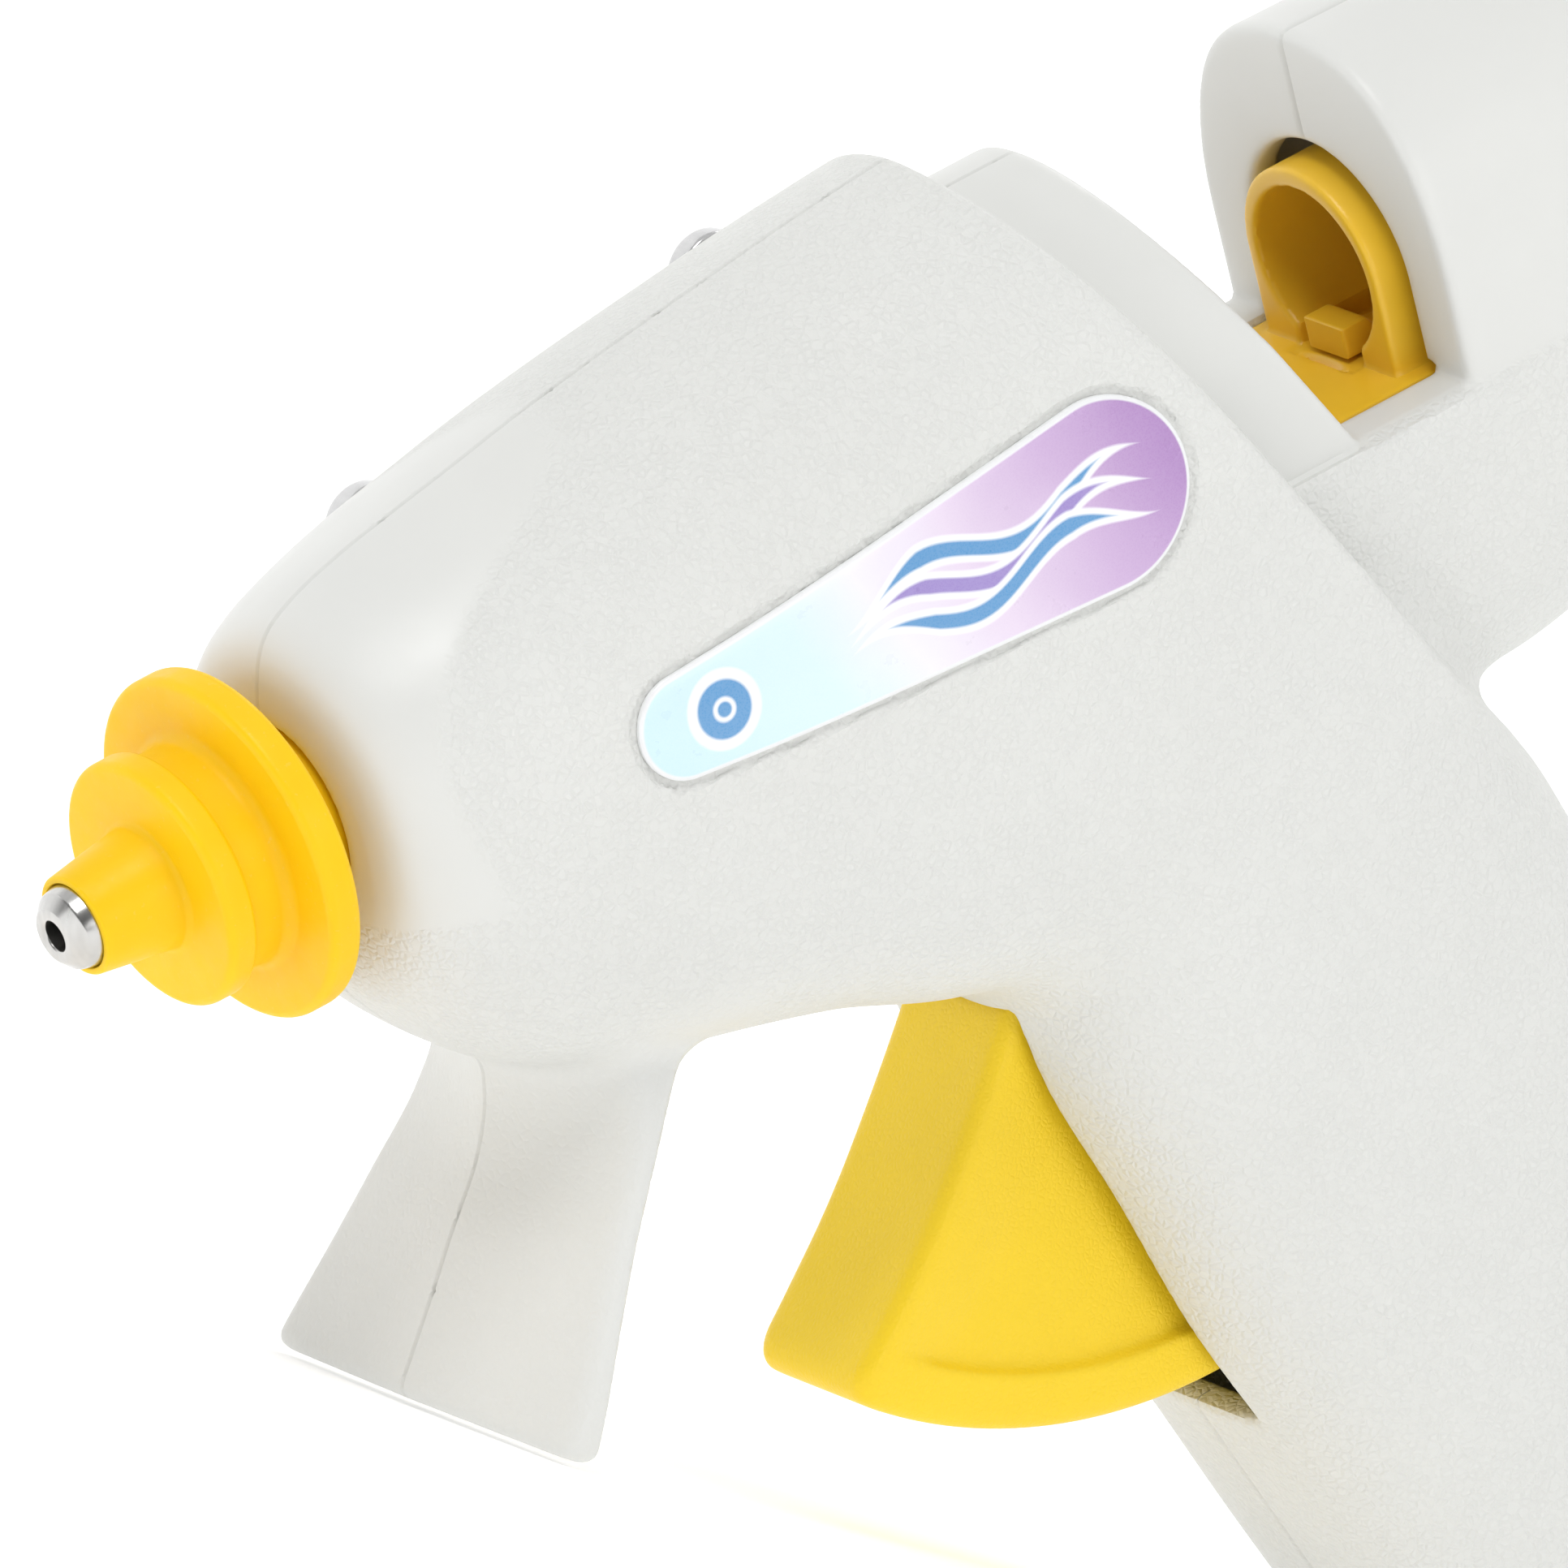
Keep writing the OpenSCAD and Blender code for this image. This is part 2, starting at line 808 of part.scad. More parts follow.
module housing_screws() {
  color("Silver")
    stand()
      for (s = screws)
        difference() {
          union() {
            cross_rod(s, head_r, s[2], s[2] + head_h);
            cross_rod(s, shank_r, 4 - s[2], s[2] + 1);
          }
          for (turn = [0, 90])
            translate([s[0], s[2] + head_h, s[1]])
              rotate([0, turn, 0])
                cube([3.2, 2.4, 0.8], center = true);
        }
}

housing_left();
housing_right();
nozzle_tip();
nozzle_cover();
melt_chamber();
heater_element();
heater_electrodes();
heater_film();
chamber_collar();
stick_sleeve();
sleeve_clamp();
trigger();
trigger_pin();
link_pin();
feeder_carriage();
grip_lever();
grip_pin();
return_spring();
stick_inlet_ring();
cord_grommet();
terminal_block();
heater_leads();
label();
housing_screws();
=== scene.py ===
import math

import bmesh
import bpy
import numpy as np
from mathutils import Matrix, Vector


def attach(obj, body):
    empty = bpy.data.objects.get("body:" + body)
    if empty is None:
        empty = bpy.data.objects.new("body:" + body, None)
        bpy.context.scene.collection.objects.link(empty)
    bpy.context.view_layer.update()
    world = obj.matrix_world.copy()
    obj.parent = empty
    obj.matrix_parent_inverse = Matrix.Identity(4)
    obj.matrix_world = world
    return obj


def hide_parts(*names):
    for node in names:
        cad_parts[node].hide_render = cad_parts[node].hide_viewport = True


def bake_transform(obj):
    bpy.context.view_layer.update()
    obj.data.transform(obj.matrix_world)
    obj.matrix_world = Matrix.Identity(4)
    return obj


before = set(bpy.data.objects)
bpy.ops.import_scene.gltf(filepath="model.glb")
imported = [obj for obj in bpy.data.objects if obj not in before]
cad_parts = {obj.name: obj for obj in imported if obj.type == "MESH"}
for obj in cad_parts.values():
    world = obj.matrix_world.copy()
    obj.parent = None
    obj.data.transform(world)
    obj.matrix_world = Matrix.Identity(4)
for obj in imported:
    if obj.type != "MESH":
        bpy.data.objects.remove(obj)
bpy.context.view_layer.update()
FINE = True

# The gun is described in millimetres along its own barrel (nozzle towards -x, far side +y) and then
# pitched nose-down into the row frame, whose origin is the sole of the foot.
PITCH = math.radians(38)
SOLE = (1.9, -40.42)  # x and z of the foot's sole
COS, SIN = math.cos(PITCH), math.sin(PITCH)
PIVOT = (56.0, -24.4)  # x and z of the trigger's pin


def to_row(points):
    """Barrel millimetres to row metres."""
    p = np.asarray(points, float)
    dx, dz = p[..., 0] - SOLE[0], p[..., 2] - SOLE[1]
    return np.stack([dx * COS - dz * SIN, p[..., 1], dx * SIN + dz * COS], -1) / 1000


def table_line(x):
    """Height of the table under a place along the barrel."""
    return SOLE[1] - math.tan(PITCH) * (x - SOLE[0])


# ---------- smooth solid modelling with distance fields, in barrel millimetres ----------
def smin(a, b, k):
    h = np.clip(0.5 + 0.5 * (b - a) / k, 0, 1)
    return b * (1 - h) + a * h - k * h * (1 - h)


def smax(a, b, k):
    return -smin(-a, -b, k)


def ramp01(v):
    t = np.clip(v, 0, 1)
    return t * t * (3 - 2 * t)


def curve(xs, ys):
    """Monotone cubic through the points, flat beyond the ends."""
    xs, ys = np.asarray(xs, float), np.asarray(ys, float)
    h, d = np.diff(xs), np.diff(ys) / np.diff(xs)
    m = np.empty_like(ys)
    m[0], m[-1] = d[0], d[-1]
    both = d[:-1] * d[1:] > 0
    w1, w2 = 2 * h[1:] + h[:-1], h[1:] + 2 * h[:-1]
    with np.errstate(divide="ignore", invalid="ignore"):
        m[1:-1] = np.where(both, (w1 + w2) / (w1 / d[:-1] + w2 / d[1:]), 0)

    def at(x):
        x = np.clip(x, xs[0], xs[-1])
        i = np.clip(np.searchsorted(xs, x) - 1, 0, len(xs) - 2)
        t = (x - xs[i]) / h[i]
        t2, t3 = t * t, t * t * t
        return (
            (2 * t3 - 3 * t2 + 1) * ys[i]
            + (t3 - 2 * t2 + t) * h[i] * m[i]
            + (3 * t2 - 2 * t3) * ys[i + 1]
            + (t3 - t2) * h[i] * m[i + 1]
        )

    return at


def as_distance(raw, eps=0.04):
    """Divides a field by its own slope, so that it reads as millimetres near its surface."""

    def field(x, y, z):
        g = raw(x, y, z)
        gx, gy, gz = raw(x + eps, y, z) - g, raw(x, y + eps, z) - g, raw(x, y, z + eps) - g
        return g * eps / np.sqrt(gx * gx + gy * gy + gz * gz + 1e-12)

    return field


def stations_x(rows, crown):
    """Field of a body lofted along x: x, widest height, rise, drop, half width, roundness.

    crown caps the roundness across the top, so that the shoulders fall away sooner.
    """
    rows = np.asarray(rows, float)
    mid, up, down, wide, power = (curve(rows[:, 0], rows[:, k]) for k in range(1, 6))

    def raw(x, y, z):
        dz, e = z - mid(x), power(x)
        top = dz > 0
        h = np.where(top, up(x), down(x))
        across = np.where(top, np.minimum(e, crown), e)
        upright = np.where(top, np.minimum(e, 3.0), e)
        total = np.abs(y / wide(x)) ** across + np.abs(dz / h) ** upright
        return total ** (1 / across) - 1

    return as_distance(raw)


def stations_z(rows, power):
    """Field of a handle lofted along z: z (falling), front x, back x, half width."""
    rows = np.asarray(rows, float)[::-1]
    front, rear, wide = (curve(rows[:, 0], rows[:, k]) for k in range(1, 4))

    def raw(x, y, z):
        a, b = front(z), rear(z)
        u = (x - (a + b) / 2) / ((b - a) / 2)
        return (np.abs(y / wide(z)) ** power + np.abs(u) ** power) ** (1 / power) - 1

    return as_distance(raw)


def plane(a, b):
    """Signed distance in the x-z plane, positive on the left of the line from a to b."""
    dx, dz = b[0] - a[0], b[1] - a[1]
    length = math.hypot(dx, dz)
    return lambda x, y, z: (dx * (z - a[1]) - dz * (x - a[0])) / length


def polygon(points):
    """Signed distance to a closed outline in the x-z plane, negative inside."""
    pts = np.asarray(points, float)
    nxt = np.roll(pts, -1, axis=0)

    def at(x, z):
        best = np.full(np.broadcast(x, z).shape, 1e9)
        inside = np.zeros(best.shape, bool)
        for (ax, az), (bx, bz) in zip(pts, nxt):
            ex, ez = bx - ax, bz - az
            t = np.clip(((x - ax) * ex + (z - az) * ez) / (ex * ex + ez * ez), 0, 1)
            best = np.minimum(best, (x - ax - t * ex) ** 2 + (z - az - t * ez) ** 2)
            inside ^= ((az > z) != (bz > z)) & (x < ax + (z - az) * ex / (ez if ez else 1e-9))
        return np.sqrt(best) * np.where(inside, -1, 1)

    return at


def box2(u, v, cu, cv, hu, hv):
    """Distance to a rectangle in any two coordinates."""
    du, dv = np.abs(u - cu) - hu, np.abs(v - cv) - hv
    return np.minimum(np.maximum(du, dv), 0) + np.hypot(np.maximum(du, 0), np.maximum(dv, 0))


def surface_nets(field, low, high, step, coarse=4):
    """Quads on the field's zero level, each corner moved onto it; returns (points, quads).

    A coarse grid finds the cells near the surface, so that the fine one is filled in only there.
    """
    low = np.asarray(low, float)
    cells = np.ceil((np.asarray(high, float) - low) / (step * coarse)).astype(int)
    shape = cells * coarse + 1
    axes = [low[k] + step * np.arange(shape[k]) for k in range(3)]
    mid = [low[k] + step * coarse * (np.arange(cells[k]) + 0.5) for k in range(3)]
    rough = field(*np.meshgrid(*mid, indexing="ij"))
    near = np.abs(rough) < step * coarse * 1.25
    grown = near.copy()
    for axis in range(3):
        for shift in (1, -1):
            grown |= np.roll(near, shift, axis)
    ids = [np.minimum(np.arange(shape[k]) // coarse, cells[k] - 1) for k in range(3)]
    mask, f = grown[np.ix_(*ids)], rough[np.ix_(*ids)].astype(np.float32)
    for k in range(3):
        back = [np.maximum((np.arange(shape[j]) - (j == k)) // coarse, 0) for j in range(3)]
        back = [np.minimum(back[j], cells[j] - 1) for j in range(3)]
        mask |= grown[np.ix_(*back)]
    i, j, k = np.nonzero(mask)
    f[i, j, k] = field(axes[0][i], axes[1][j], axes[2][k])
    inside = f < 0
    count = np.zeros(np.array(shape) - 1, np.uint8)
    corners = [(a, b, c) for a in (0, 1) for b in (0, 1) for c in (0, 1)]
    for a, b, c in corners:
        count += inside[a : shape[0] - 1 + a, b : shape[1] - 1 + b, c : shape[2] - 1 + c]
    active = (count > 0) & (count < 8)
    cell = np.argwhere(active)
    index = np.full(active.shape, -1, np.int64)
    index[active] = np.arange(len(cell))
    value = {q: f[cell[:, 0] + q[0], cell[:, 1] + q[1], cell[:, 2] + q[2]] for q in corners}
    total, hits = np.zeros((len(cell), 3)), np.zeros(len(cell))
    for p in corners:
        for axis in range(3):
            if p[axis]:
                continue
            q = tuple(p[m] + (m == axis) for m in range(3))
            va, vb = value[p], value[q]
            cross = (va < 0) != (vb < 0)
            t = np.where(cross, va / np.where(va == vb, 1, va - vb), 0)
            spot = np.repeat(np.array(p, float)[None], len(cell), 0)
            spot[:, axis] += t
            total += spot * cross[:, None]
            hits += cross
    points = low + step * (cell + total / hits[:, None])
    quads = []
    for axis in range(3):
        u, v = (axis + 1) % 3, (axis + 2) % 3
        one = [slice(1, shape[m] - 1) for m in range(3)]
        two = list(one)
        one[axis], two[axis] = slice(0, shape[axis] - 1), slice(1, shape[axis])
        a, b = inside[tuple(one)], inside[tuple(two)]
        for flip, hit in ((False, a & ~b), (True, ~a & b)):
            e = np.argwhere(hit) + [int(m != axis) for m in range(3)]
            ring = []
            for du, dv in ((0, 0), (-1, 0), (-1, -1), (0, -1)):
                c = e.copy()
                c[:, u] += du
                c[:, v] += dv
                ring.append(index[c[:, 0], c[:, 1], c[:, 2]])
            quads.append(np.stack(ring[::-1] if flip else ring, 1))
    quads = np.concatenate(quads)
    quads = quads[(quads >= 0).all(1)]
    eps = 0.02
    for _ in range(3):
        x, y, z = points.T
        g = field(x, y, z)
        slope = np.stack(
            [field(x + eps, y, z) - g, field(x, y + eps, z) - g, field(x, y, z + eps) - g], 1
        ) / eps
        size = np.maximum((slope**2).sum(1), 0.25)
        points -= slope * np.clip(g / size, -step / 2, step / 2)[:, None]
    return points, quads


# ---------- making objects ----------
def link(name, data):
    obj = bpy.data.objects.new(name, data)
    bpy.context.scene.collection.objects.link(obj)
    return obj


def finish_mesh(mesh, material, smooth_angle):
    """An object for the mesh, shaded smooth up to an angle."""
    mesh.update()
    mesh.shade_smooth()
    mesh.set_sharp_from_angle(angle=math.radians(smooth_angle))
    mesh.materials.append(material)
    return link(mesh.name, mesh)


def new_object(name, points, faces, material, smooth_angle=40):
    """A mesh object from points in the barrel frame."""
    if isinstance(faces, np.ndarray):
        faces = faces.tolist()
    mesh = bpy.data.meshes.new(name)
    mesh.from_pydata(to_row(points).tolist(), [], faces)
    mesh.validate()
    return finish_mesh(mesh, material, smooth_angle)


def point_attribute(obj, name, values):
    """A number per vertex that the materials can read."""
    data = obj.data.attributes.new(name, "FLOAT", "POINT")
    data.data.foreach_set("value", np.asarray(values, np.float32))


def filleted(profile, radii, steps):
    """Closed outline with each corner rounded to its radius."""
    pts = [np.array(p, float) for p in profile]
    out = []
    for i, p in enumerate(pts):
        a, b = pts[i - 1] - p, pts[(i + 1) % len(pts)] - p
        la, lb = np.linalg.norm(a), np.linalg.norm(b)
        ua, ub = a / la, b / lb
        angle = math.acos(np.clip(ua @ ub, -1, 1))
        if angle > math.radians(176):
            out.append(p)
            continue
        reach = min(radii[i] / math.tan(angle / 2), 0.48 * la, 0.48 * lb)
        r = reach * math.tan(angle / 2)
        centre = p + (ua + ub) / np.linalg.norm(ua + ub) * r / math.sin(angle / 2)
        s, e = p + ua * reach - centre, p + ub * reach - centre
        sweep = math.atan2(s[0] * e[1] - s[1] * e[0], s @ e)
        for k in range(steps + 1):
            c, d = math.cos(sweep * k / steps), math.sin(sweep * k / steps)
            out.append(centre + np.array([s[0] * c - s[1] * d, s[0] * d + s[1] * c]))
    return out


def lathe(name, profile, material, origin=(0, 0, 0), axis=(1, 0, 0), segments=128, angle=35):
    """Closed outline of (radius, along) turned about an axis in the barrel frame."""
    along = Vector(axis).normalized()
    side = along.orthogonal().normalized()
    third = along.cross(side)
    base = np.array(origin, float)
    n, points = len(profile), []
    for k in range(segments):
        a = 2 * math.pi * k / segments
        out = np.array(side) * math.cos(a) + np.array(third) * math.sin(a)
        points += [base + out * r + np.array(along) * h for r, h in profile]
    faces = []
    for k in range(segments):
        here, there = k * n, ((k + 1) % segments) * n
        for i in range(n):
            m = (i + 1) % n
            faces.append((here + i, here + m, there + m, there + i))
    obj = new_object(name, np.array(points), faces, material, angle)
    tidy_normals(obj)
    return obj


def tidy_normals(obj, weld=None):
    """Turns every face outwards, after joining vertices that are nearer than the weld."""
    bm = bmesh.new()
    bm.from_mesh(obj.data)
    if weld is not None:
        bmesh.ops.remove_doubles(bm, verts=bm.verts, dist=weld)
    bmesh.ops.recalc_face_normals(bm, faces=bm.faces)
    bm.to_mesh(obj.data)
    bm.free()


def from_field(name, field, low, high, step, material, angle):
    points, quads = surface_nets(field, low, high, step)
    return new_object(name, points, quads, material, angle)


def tube(path, radius, sides=14):
    """Points and quads of a round wire along a path, closed at its ends."""
    path = np.asarray(path, float)
    tangent = np.gradient(path, axis=0)
    tangent /= np.linalg.norm(tangent, axis=1)[:, None]
    normal = np.cross(tangent[0], [0.3, 1, 0.2])
    points, faces = [], []
    for p, t in zip(path, tangent):
        normal = normal - t * (normal @ t)
        normal /= np.linalg.norm(normal)
        other = np.cross(t, normal)
        for k in range(sides):
            a = 2 * math.pi * k / sides
            points.append(p + radius * (math.cos(a) * normal + math.sin(a) * other))
    for i in range(len(path) - 1):
        for k in range(sides):
            m = (k + 1) % sides
            faces.append((i * sides + k, i * sides + m, (i + 1) * sides + m, (i + 1) * sides + k))
    faces.append(tuple(range(sides))[::-1])
    faces.append(tuple((len(path) - 1) * sides + k for k in range(sides)))
    return np.array(points), faces


# ---------- the housing's shape ----------
# x, widest height, rise, drop, half width, roundness
BODY_ROWS = [
    (2.2, -0.5, 7.5, 7.8, 7.6, 2.2), (3.0, -0.7, 9.9, 10.1, 9.6, 2.3),
    (4.4, -1.0, 12.3, 12.2, 11.2, 2.4), (7, -2, 14.9, 14.6, 12.7, 2.6),
    (11, -3, 17.1, 17.2, 14, 2.8), (16, -3.5, 18.6, 18.6, 15.1, 3.0),
    (23, -4, 20.4, 19.8, 16.1, 3.2), (32, -4, 21.9, 22, 16.8, 3.3),
    (41, -4, 23.1, 25.4, 17, 3.4), (50, -4, 24.2, 27.5, 17, 3.4),
    (60, -4, 25, 27.5, 17, 3.4), (84, -4, 26, 25.5, 16.6, 3.4),
]
REAR_ROWS = [
    (54, -6, 23, 22, 13.3, 2.1), (66, -6, 23, 21.6, 13.3, 2.1), (78, -6, 22, 21, 13.2, 2.4),
    (86, -6, 21.6, 21.6, 12.8, 3.4), (100, -6, 21.3, 18.6, 12.8, 3.4),
    (114, -6, 19, 14.0, 12.4, 3.2), (119, -5.5, 16.5, 11.5, 11.4, 2.8),
    (121.5, -5, 13.5, 9.0, 9.8, 2.4),
]
# z, front x, back x, half width
GRIP_ROWS = [
    (-14, 47.6, 77.0, 15.4), (-20, 45.4, 80.2, 15.9), (-28, 45.6, 84.6, 16.2),
    (-33, 46.4, 87.2, 16.2), (-38, 47.2, 88.9, 16.1), (-48, 50.3, 92.3, 15.5),
    (-58, 53.2, 95.4, 15.2), (-69, 57.6, 98.6, 15.2), (-81, 62.2, 102.3, 15.4),
    (-92, 66.8, 105.6, 15.7), (-106, 73.2, 109.6, 15.9),
]
WALL = 2.2
LEAN = 0.507  # how far rim and collar lean back for each millimetre they rise
RIM, COLLAR = (56.8, 20.0), (65.8, 16.5)
NOSE_X = 2.6
REAR_START, REAR_END = 52.0, 121.5
GRIP_TOP, FOOT_TOP = -16, -17
SADDLE_FLOOR, SADDLE_END = -5.8, 86
LEDGE_X, LEDGE_Z, LEDGE_W = 66, -6.0, 12.5
# The handle's end runs from its heel on the table up to its back.
HEEL = (80.0, table_line(80.0))
BACK = (102.5, -94.2)
END_MID = ((HEEL[0] + BACK[0]) / 2, (HEEL[1] + BACK[1]) / 2)
END_LENGTH = math.dist(HEEL, BACK)
END_ALONG = ((BACK[0] - HEEL[0]) / END_LENGTH, (BACK[1] - HEEL[1]) / END_LENGTH)
# x and z of each screw, and how far out its head sits
SCREWS = [
    (20.2, 9.1, 10), (48.6, 13.4, 10.2), (26, -18.2, 11.9), (77, -39, 12.8), (72, -80, 12.2),
    (96, -17.6, 8.4),
]
POST_R, SEAT_R, THREAD_R = 3.3, 3.2, 1.36
TRIGGER_FRONT = [
    (51.8, -27), (46.5, -34), (41.9, -39.6), (37.1, -44.9), (33.1, -48.6), (30.7, -50.7)
]
TRIGGER_R, REST_END = 38.6, 276
SWEEP_R = TRIGGER_R + 3.8
PIVOT_HOLE, BOSS_R, PIN_END = 2.06, 4.2, 13
SLOT_W = 6.0
CORD_BORE = 5.06
# Bores along the barrel: start, end, radius
BORES = [
    (-math.inf, 12.5, 6.4),  # neck of the nozzle cover
    (12.4, 15.6, 9.05),  # collar
    (15.0, 42.2, 7.5),  # melting chamber
    (42.0, 50.0, 8.45),  # clamp on the stick sleeve
    (49.0, math.inf, 6.4),  # the stick
    (115.0, math.inf, 8.27),  # inlet ring
]
# Boxes as middle and half size: the ribs in x and z, the channel in y and z
RIBS = [(14, -1, 1, 13), (46.2, 0.2, 1, 11.2), (58, 3.2, 1, 8.8)]
RUNNER, RUNNER_Y = (91, -9.6, 21, 0.9), 6.4
CHANNEL, CHANNEL_X, CHANNEL_LEN = (0, -7.1, 8.5, 1.6), 76, 60
ARCH_R, ARCH_X, ARCH_LEN = 7.7, 97, 24

body_loft = stations_x(BODY_ROWS, 1.65)
rear_loft = stations_x(REAR_ROWS, 2.5)
grip_loft = stations_z(GRIP_ROWS, 3.2)
rim_plane = plane((RIM[0] - 60 * LEAN, RIM[1] + 60), RIM)
collar_plane = plane(COLLAR, (COLLAR[0] - 30 * LEAN, COLLAR[1] + 30))
table_plane = plane((10, table_line(10)), (0, table_line(0)))
end_plane = plane(BACK, HEEL)


def round_pivot(r, degrees):
    a = math.radians(degrees)
    return PIVOT[0] + r * math.cos(a), PIVOT[1] + r * math.sin(a)


slot_outline = polygon(
    [(PIVOT[0] + 2, PIVOT[1] + 4), (PIVOT[0] - 4.5, PIVOT[1] + 2)]
    + [(x - 0.5, z) for x, z in TRIGGER_FRONT]
    + [round_pivot(SWEEP_R, a) for a in np.linspace(225, 309, 25)]
)


def saddle(x, y, z):
    """Negative in the open saddle between collar and hump."""
    return smax(smax(collar_plane(x, y, z), SADDLE_FLOOR - z, 0.6), x - SADDLE_END, 0.6)


FOOT_Z = [-44, -40.4, -35, -31.5, -27, -24, -20, -14]
foot_ridge = curve(FOOT_Z, [-3.0, 0.1, 4.5, 7.2, 10.7, 12.0, 12.6, 13.0])
foot_back = curve(FOOT_Z, [2.9, 5.6, 9.8, 12.7, 16.6, 19.2, 22.5, 24])
foot_width = curve(FOOT_Z, [16.0, 15.5, 14.0, 12.9, 11.7, 11.0, 10.5, 10.4])
foot_sweep = curve(FOOT_Z, [1.6, 2.0, 2.6, 2.9, 3.4, 3.8, 4.2, 4.4])


def foot_field(x, y, z):
    """Flared foot: two front faces meeting in a ridge, side bevels, flat back."""
    a = np.abs(y)
    ridge = foot_ridge(z)
    width = foot_width(z)
    front = (ridge + foot_sweep(z) * (a / width) ** 1.25 - x) * 0.72
    rear = (x - foot_back(z)) * 0.76
    side = (a - width) * 0.97 + 0.10 * (x - ridge - 3)
    return smax(smax(front, side, 1.3), rear, 0.9)


def front_body(x, y, z):
    """The body in front of its slanting rim."""
    return smax(body_loft(x, y, z), rim_plane(x, y, z), 0.9)


def handle(x, y, z):
    return smax(grip_loft(x, y, z), z - GRIP_TOP, 3)


def shell_outline(x, y, z):
    """The closed outer form without the foot; its inside offset is the cavity."""
    main = smax(front_body(x, y, z), NOSE_X - x, 2.2)
    rear = rear_loft(x, y, z)
    ledge = np.maximum(np.maximum(LEDGE_W - np.abs(y), LEDGE_Z - z), LEDGE_X - x)
    rear = smax(rear, -ledge, 0.25)
    rear = smax(rear, -saddle(x, y, z), 0.8)
    rear = smax(smax(rear, x - REAR_END, 3.0), REAR_START - x, 1.0)
    return smin(smin(main, rear, 0.5), handle(x, y, z), 3.2)


def outer_form(x, y, z):
    """The closed outer form, cut off at the table and at the handle's end."""
    d = smin(shell_outline(x, y, z), smax(foot_field(x, y, z), z - FOOT_TOP, 1.0), 1.6)
    d = smax(d, table_plane(x, y, z), 1.2)
    return smax(d, end_plane(x, y, z), 4.0)


# The label's outline: x, z and radius of each round end
LABEL_X, LABEL_Z, LABEL_R = 22.9, 0.7, 3.4
LABEL_X2, LABEL_Z2, LABEL_R2 = 55.6, 1.6, 6.2
LABEL_LEN = math.hypot(LABEL_X2 - LABEL_X, LABEL_Z2 - LABEL_Z)
LABEL_UX, LABEL_UZ = (LABEL_X2 - LABEL_X) / LABEL_LEN, (LABEL_Z2 - LABEL_Z) / LABEL_LEN
LABEL_SLOPE = (LABEL_R - LABEL_R2) / LABEL_LEN
RECESS_GAP, RECESS_DEPTH = 0.55, 0.45


def label_outline(x, z):
    """Distance to the tapered stadium of the label."""
    u = (x - LABEL_X) * LABEL_UX + (z - LABEL_Z) * LABEL_UZ
    v = np.abs((z - LABEL_Z) * LABEL_UX - (x - LABEL_X) * LABEL_UZ)
    flat = math.sqrt(1 - LABEL_SLOPE**2)
    k = u * flat - v * LABEL_SLOPE
    side = v * flat + u * LABEL_SLOPE - LABEL_R
    big_end = np.hypot(u - LABEL_LEN, v) - LABEL_R2
    return np.where(
        k < 0, np.hypot(u, v) - LABEL_R, np.where(k > flat * LABEL_LEN, big_end, side)
    )


def cavity_field(x, y, z):
    """The hollow inside, less the screw posts, the pin's boss, the runners and the ribs."""
    d = smax(shell_outline(x, y, z) + WALL, table_plane(x, y, z) + WALL, 1.0)
    d = smax(d, end_plane(x, y, z) + WALL, 2.0)
    solid = np.maximum(np.hypot(x - PIVOT[0], z - PIVOT[1]) - BOSS_R, SLOT_W - np.abs(y))
    solid = np.minimum(solid, np.maximum(box2(x, z, *RUNNER), RUNNER_Y - np.abs(y)))
    for sx, sz, _ in SCREWS:
        solid = np.minimum(solid, np.hypot(x - sx, z - sz) - POST_R)
    for rib in RIBS:
        solid = np.minimum(solid, box2(x, z, *rib))
    return smax(d, -solid, 0.6)


def bores_field(side, x, y, z):
    """Everything cut through the shell; side is -1 for the near half and 1 for the far one."""
    r = np.hypot(y, z)
    arch = np.minimum(np.hypot(y, z - 0.2) - ARCH_R, box2(y, z, 0, -3.2, ARCH_R, 3.6))
    across = (x - END_MID[0]) * END_ALONG[0] + (z - END_MID[1]) * END_ALONG[1]
    along = (x - END_MID[0]) * END_ALONG[1] - (z - END_MID[1]) * END_ALONG[0]
    pin = np.hypot(x - PIVOT[0], z - PIVOT[1]) - PIVOT_HOLE
    cuts = [np.maximum(np.maximum(a - x, x - b), r - radius) for a, b, radius in BORES]
    cuts += [
        np.maximum(box2(y, z, *CHANNEL), np.abs(x - CHANNEL_X) - CHANNEL_LEN / 2),
        np.maximum(arch, np.abs(x - ARCH_X) - ARCH_LEN / 2),
        np.maximum(slot_outline(x, z), np.abs(y) - SLOT_W),
        np.maximum(pin, np.abs(y) - PIN_END),
        np.maximum(np.hypot(across, y) - CORD_BORE, -12 - along),
    ]
    if side > 0:
        for sx, sz, seat in SCREWS:
            d = np.hypot(x - sx, z - sz)
            cuts += [np.maximum(d - SEAT_R, seat - y), np.maximum(d - THREAD_R, -y)]
    out = cuts[0]
    for cut in cuts[1:]:
        out = np.minimum(out, cut)
    return out


def housing_field(side):
    def field(x, y, z):
        outer = cut = outer_form(x, y, z)
        if side < 0:
            recess = np.maximum(label_outline(x, z) - RECESS_GAP, -(outer + RECESS_DEPTH))
            cut = smax(outer, -np.maximum(recess, y + 8), 0.25)
        d = smax(cut, -cavity_field(x, y, z), 0.5)
        return smax(d, -bores_field(side, x, y, z), 0.7)

    return field


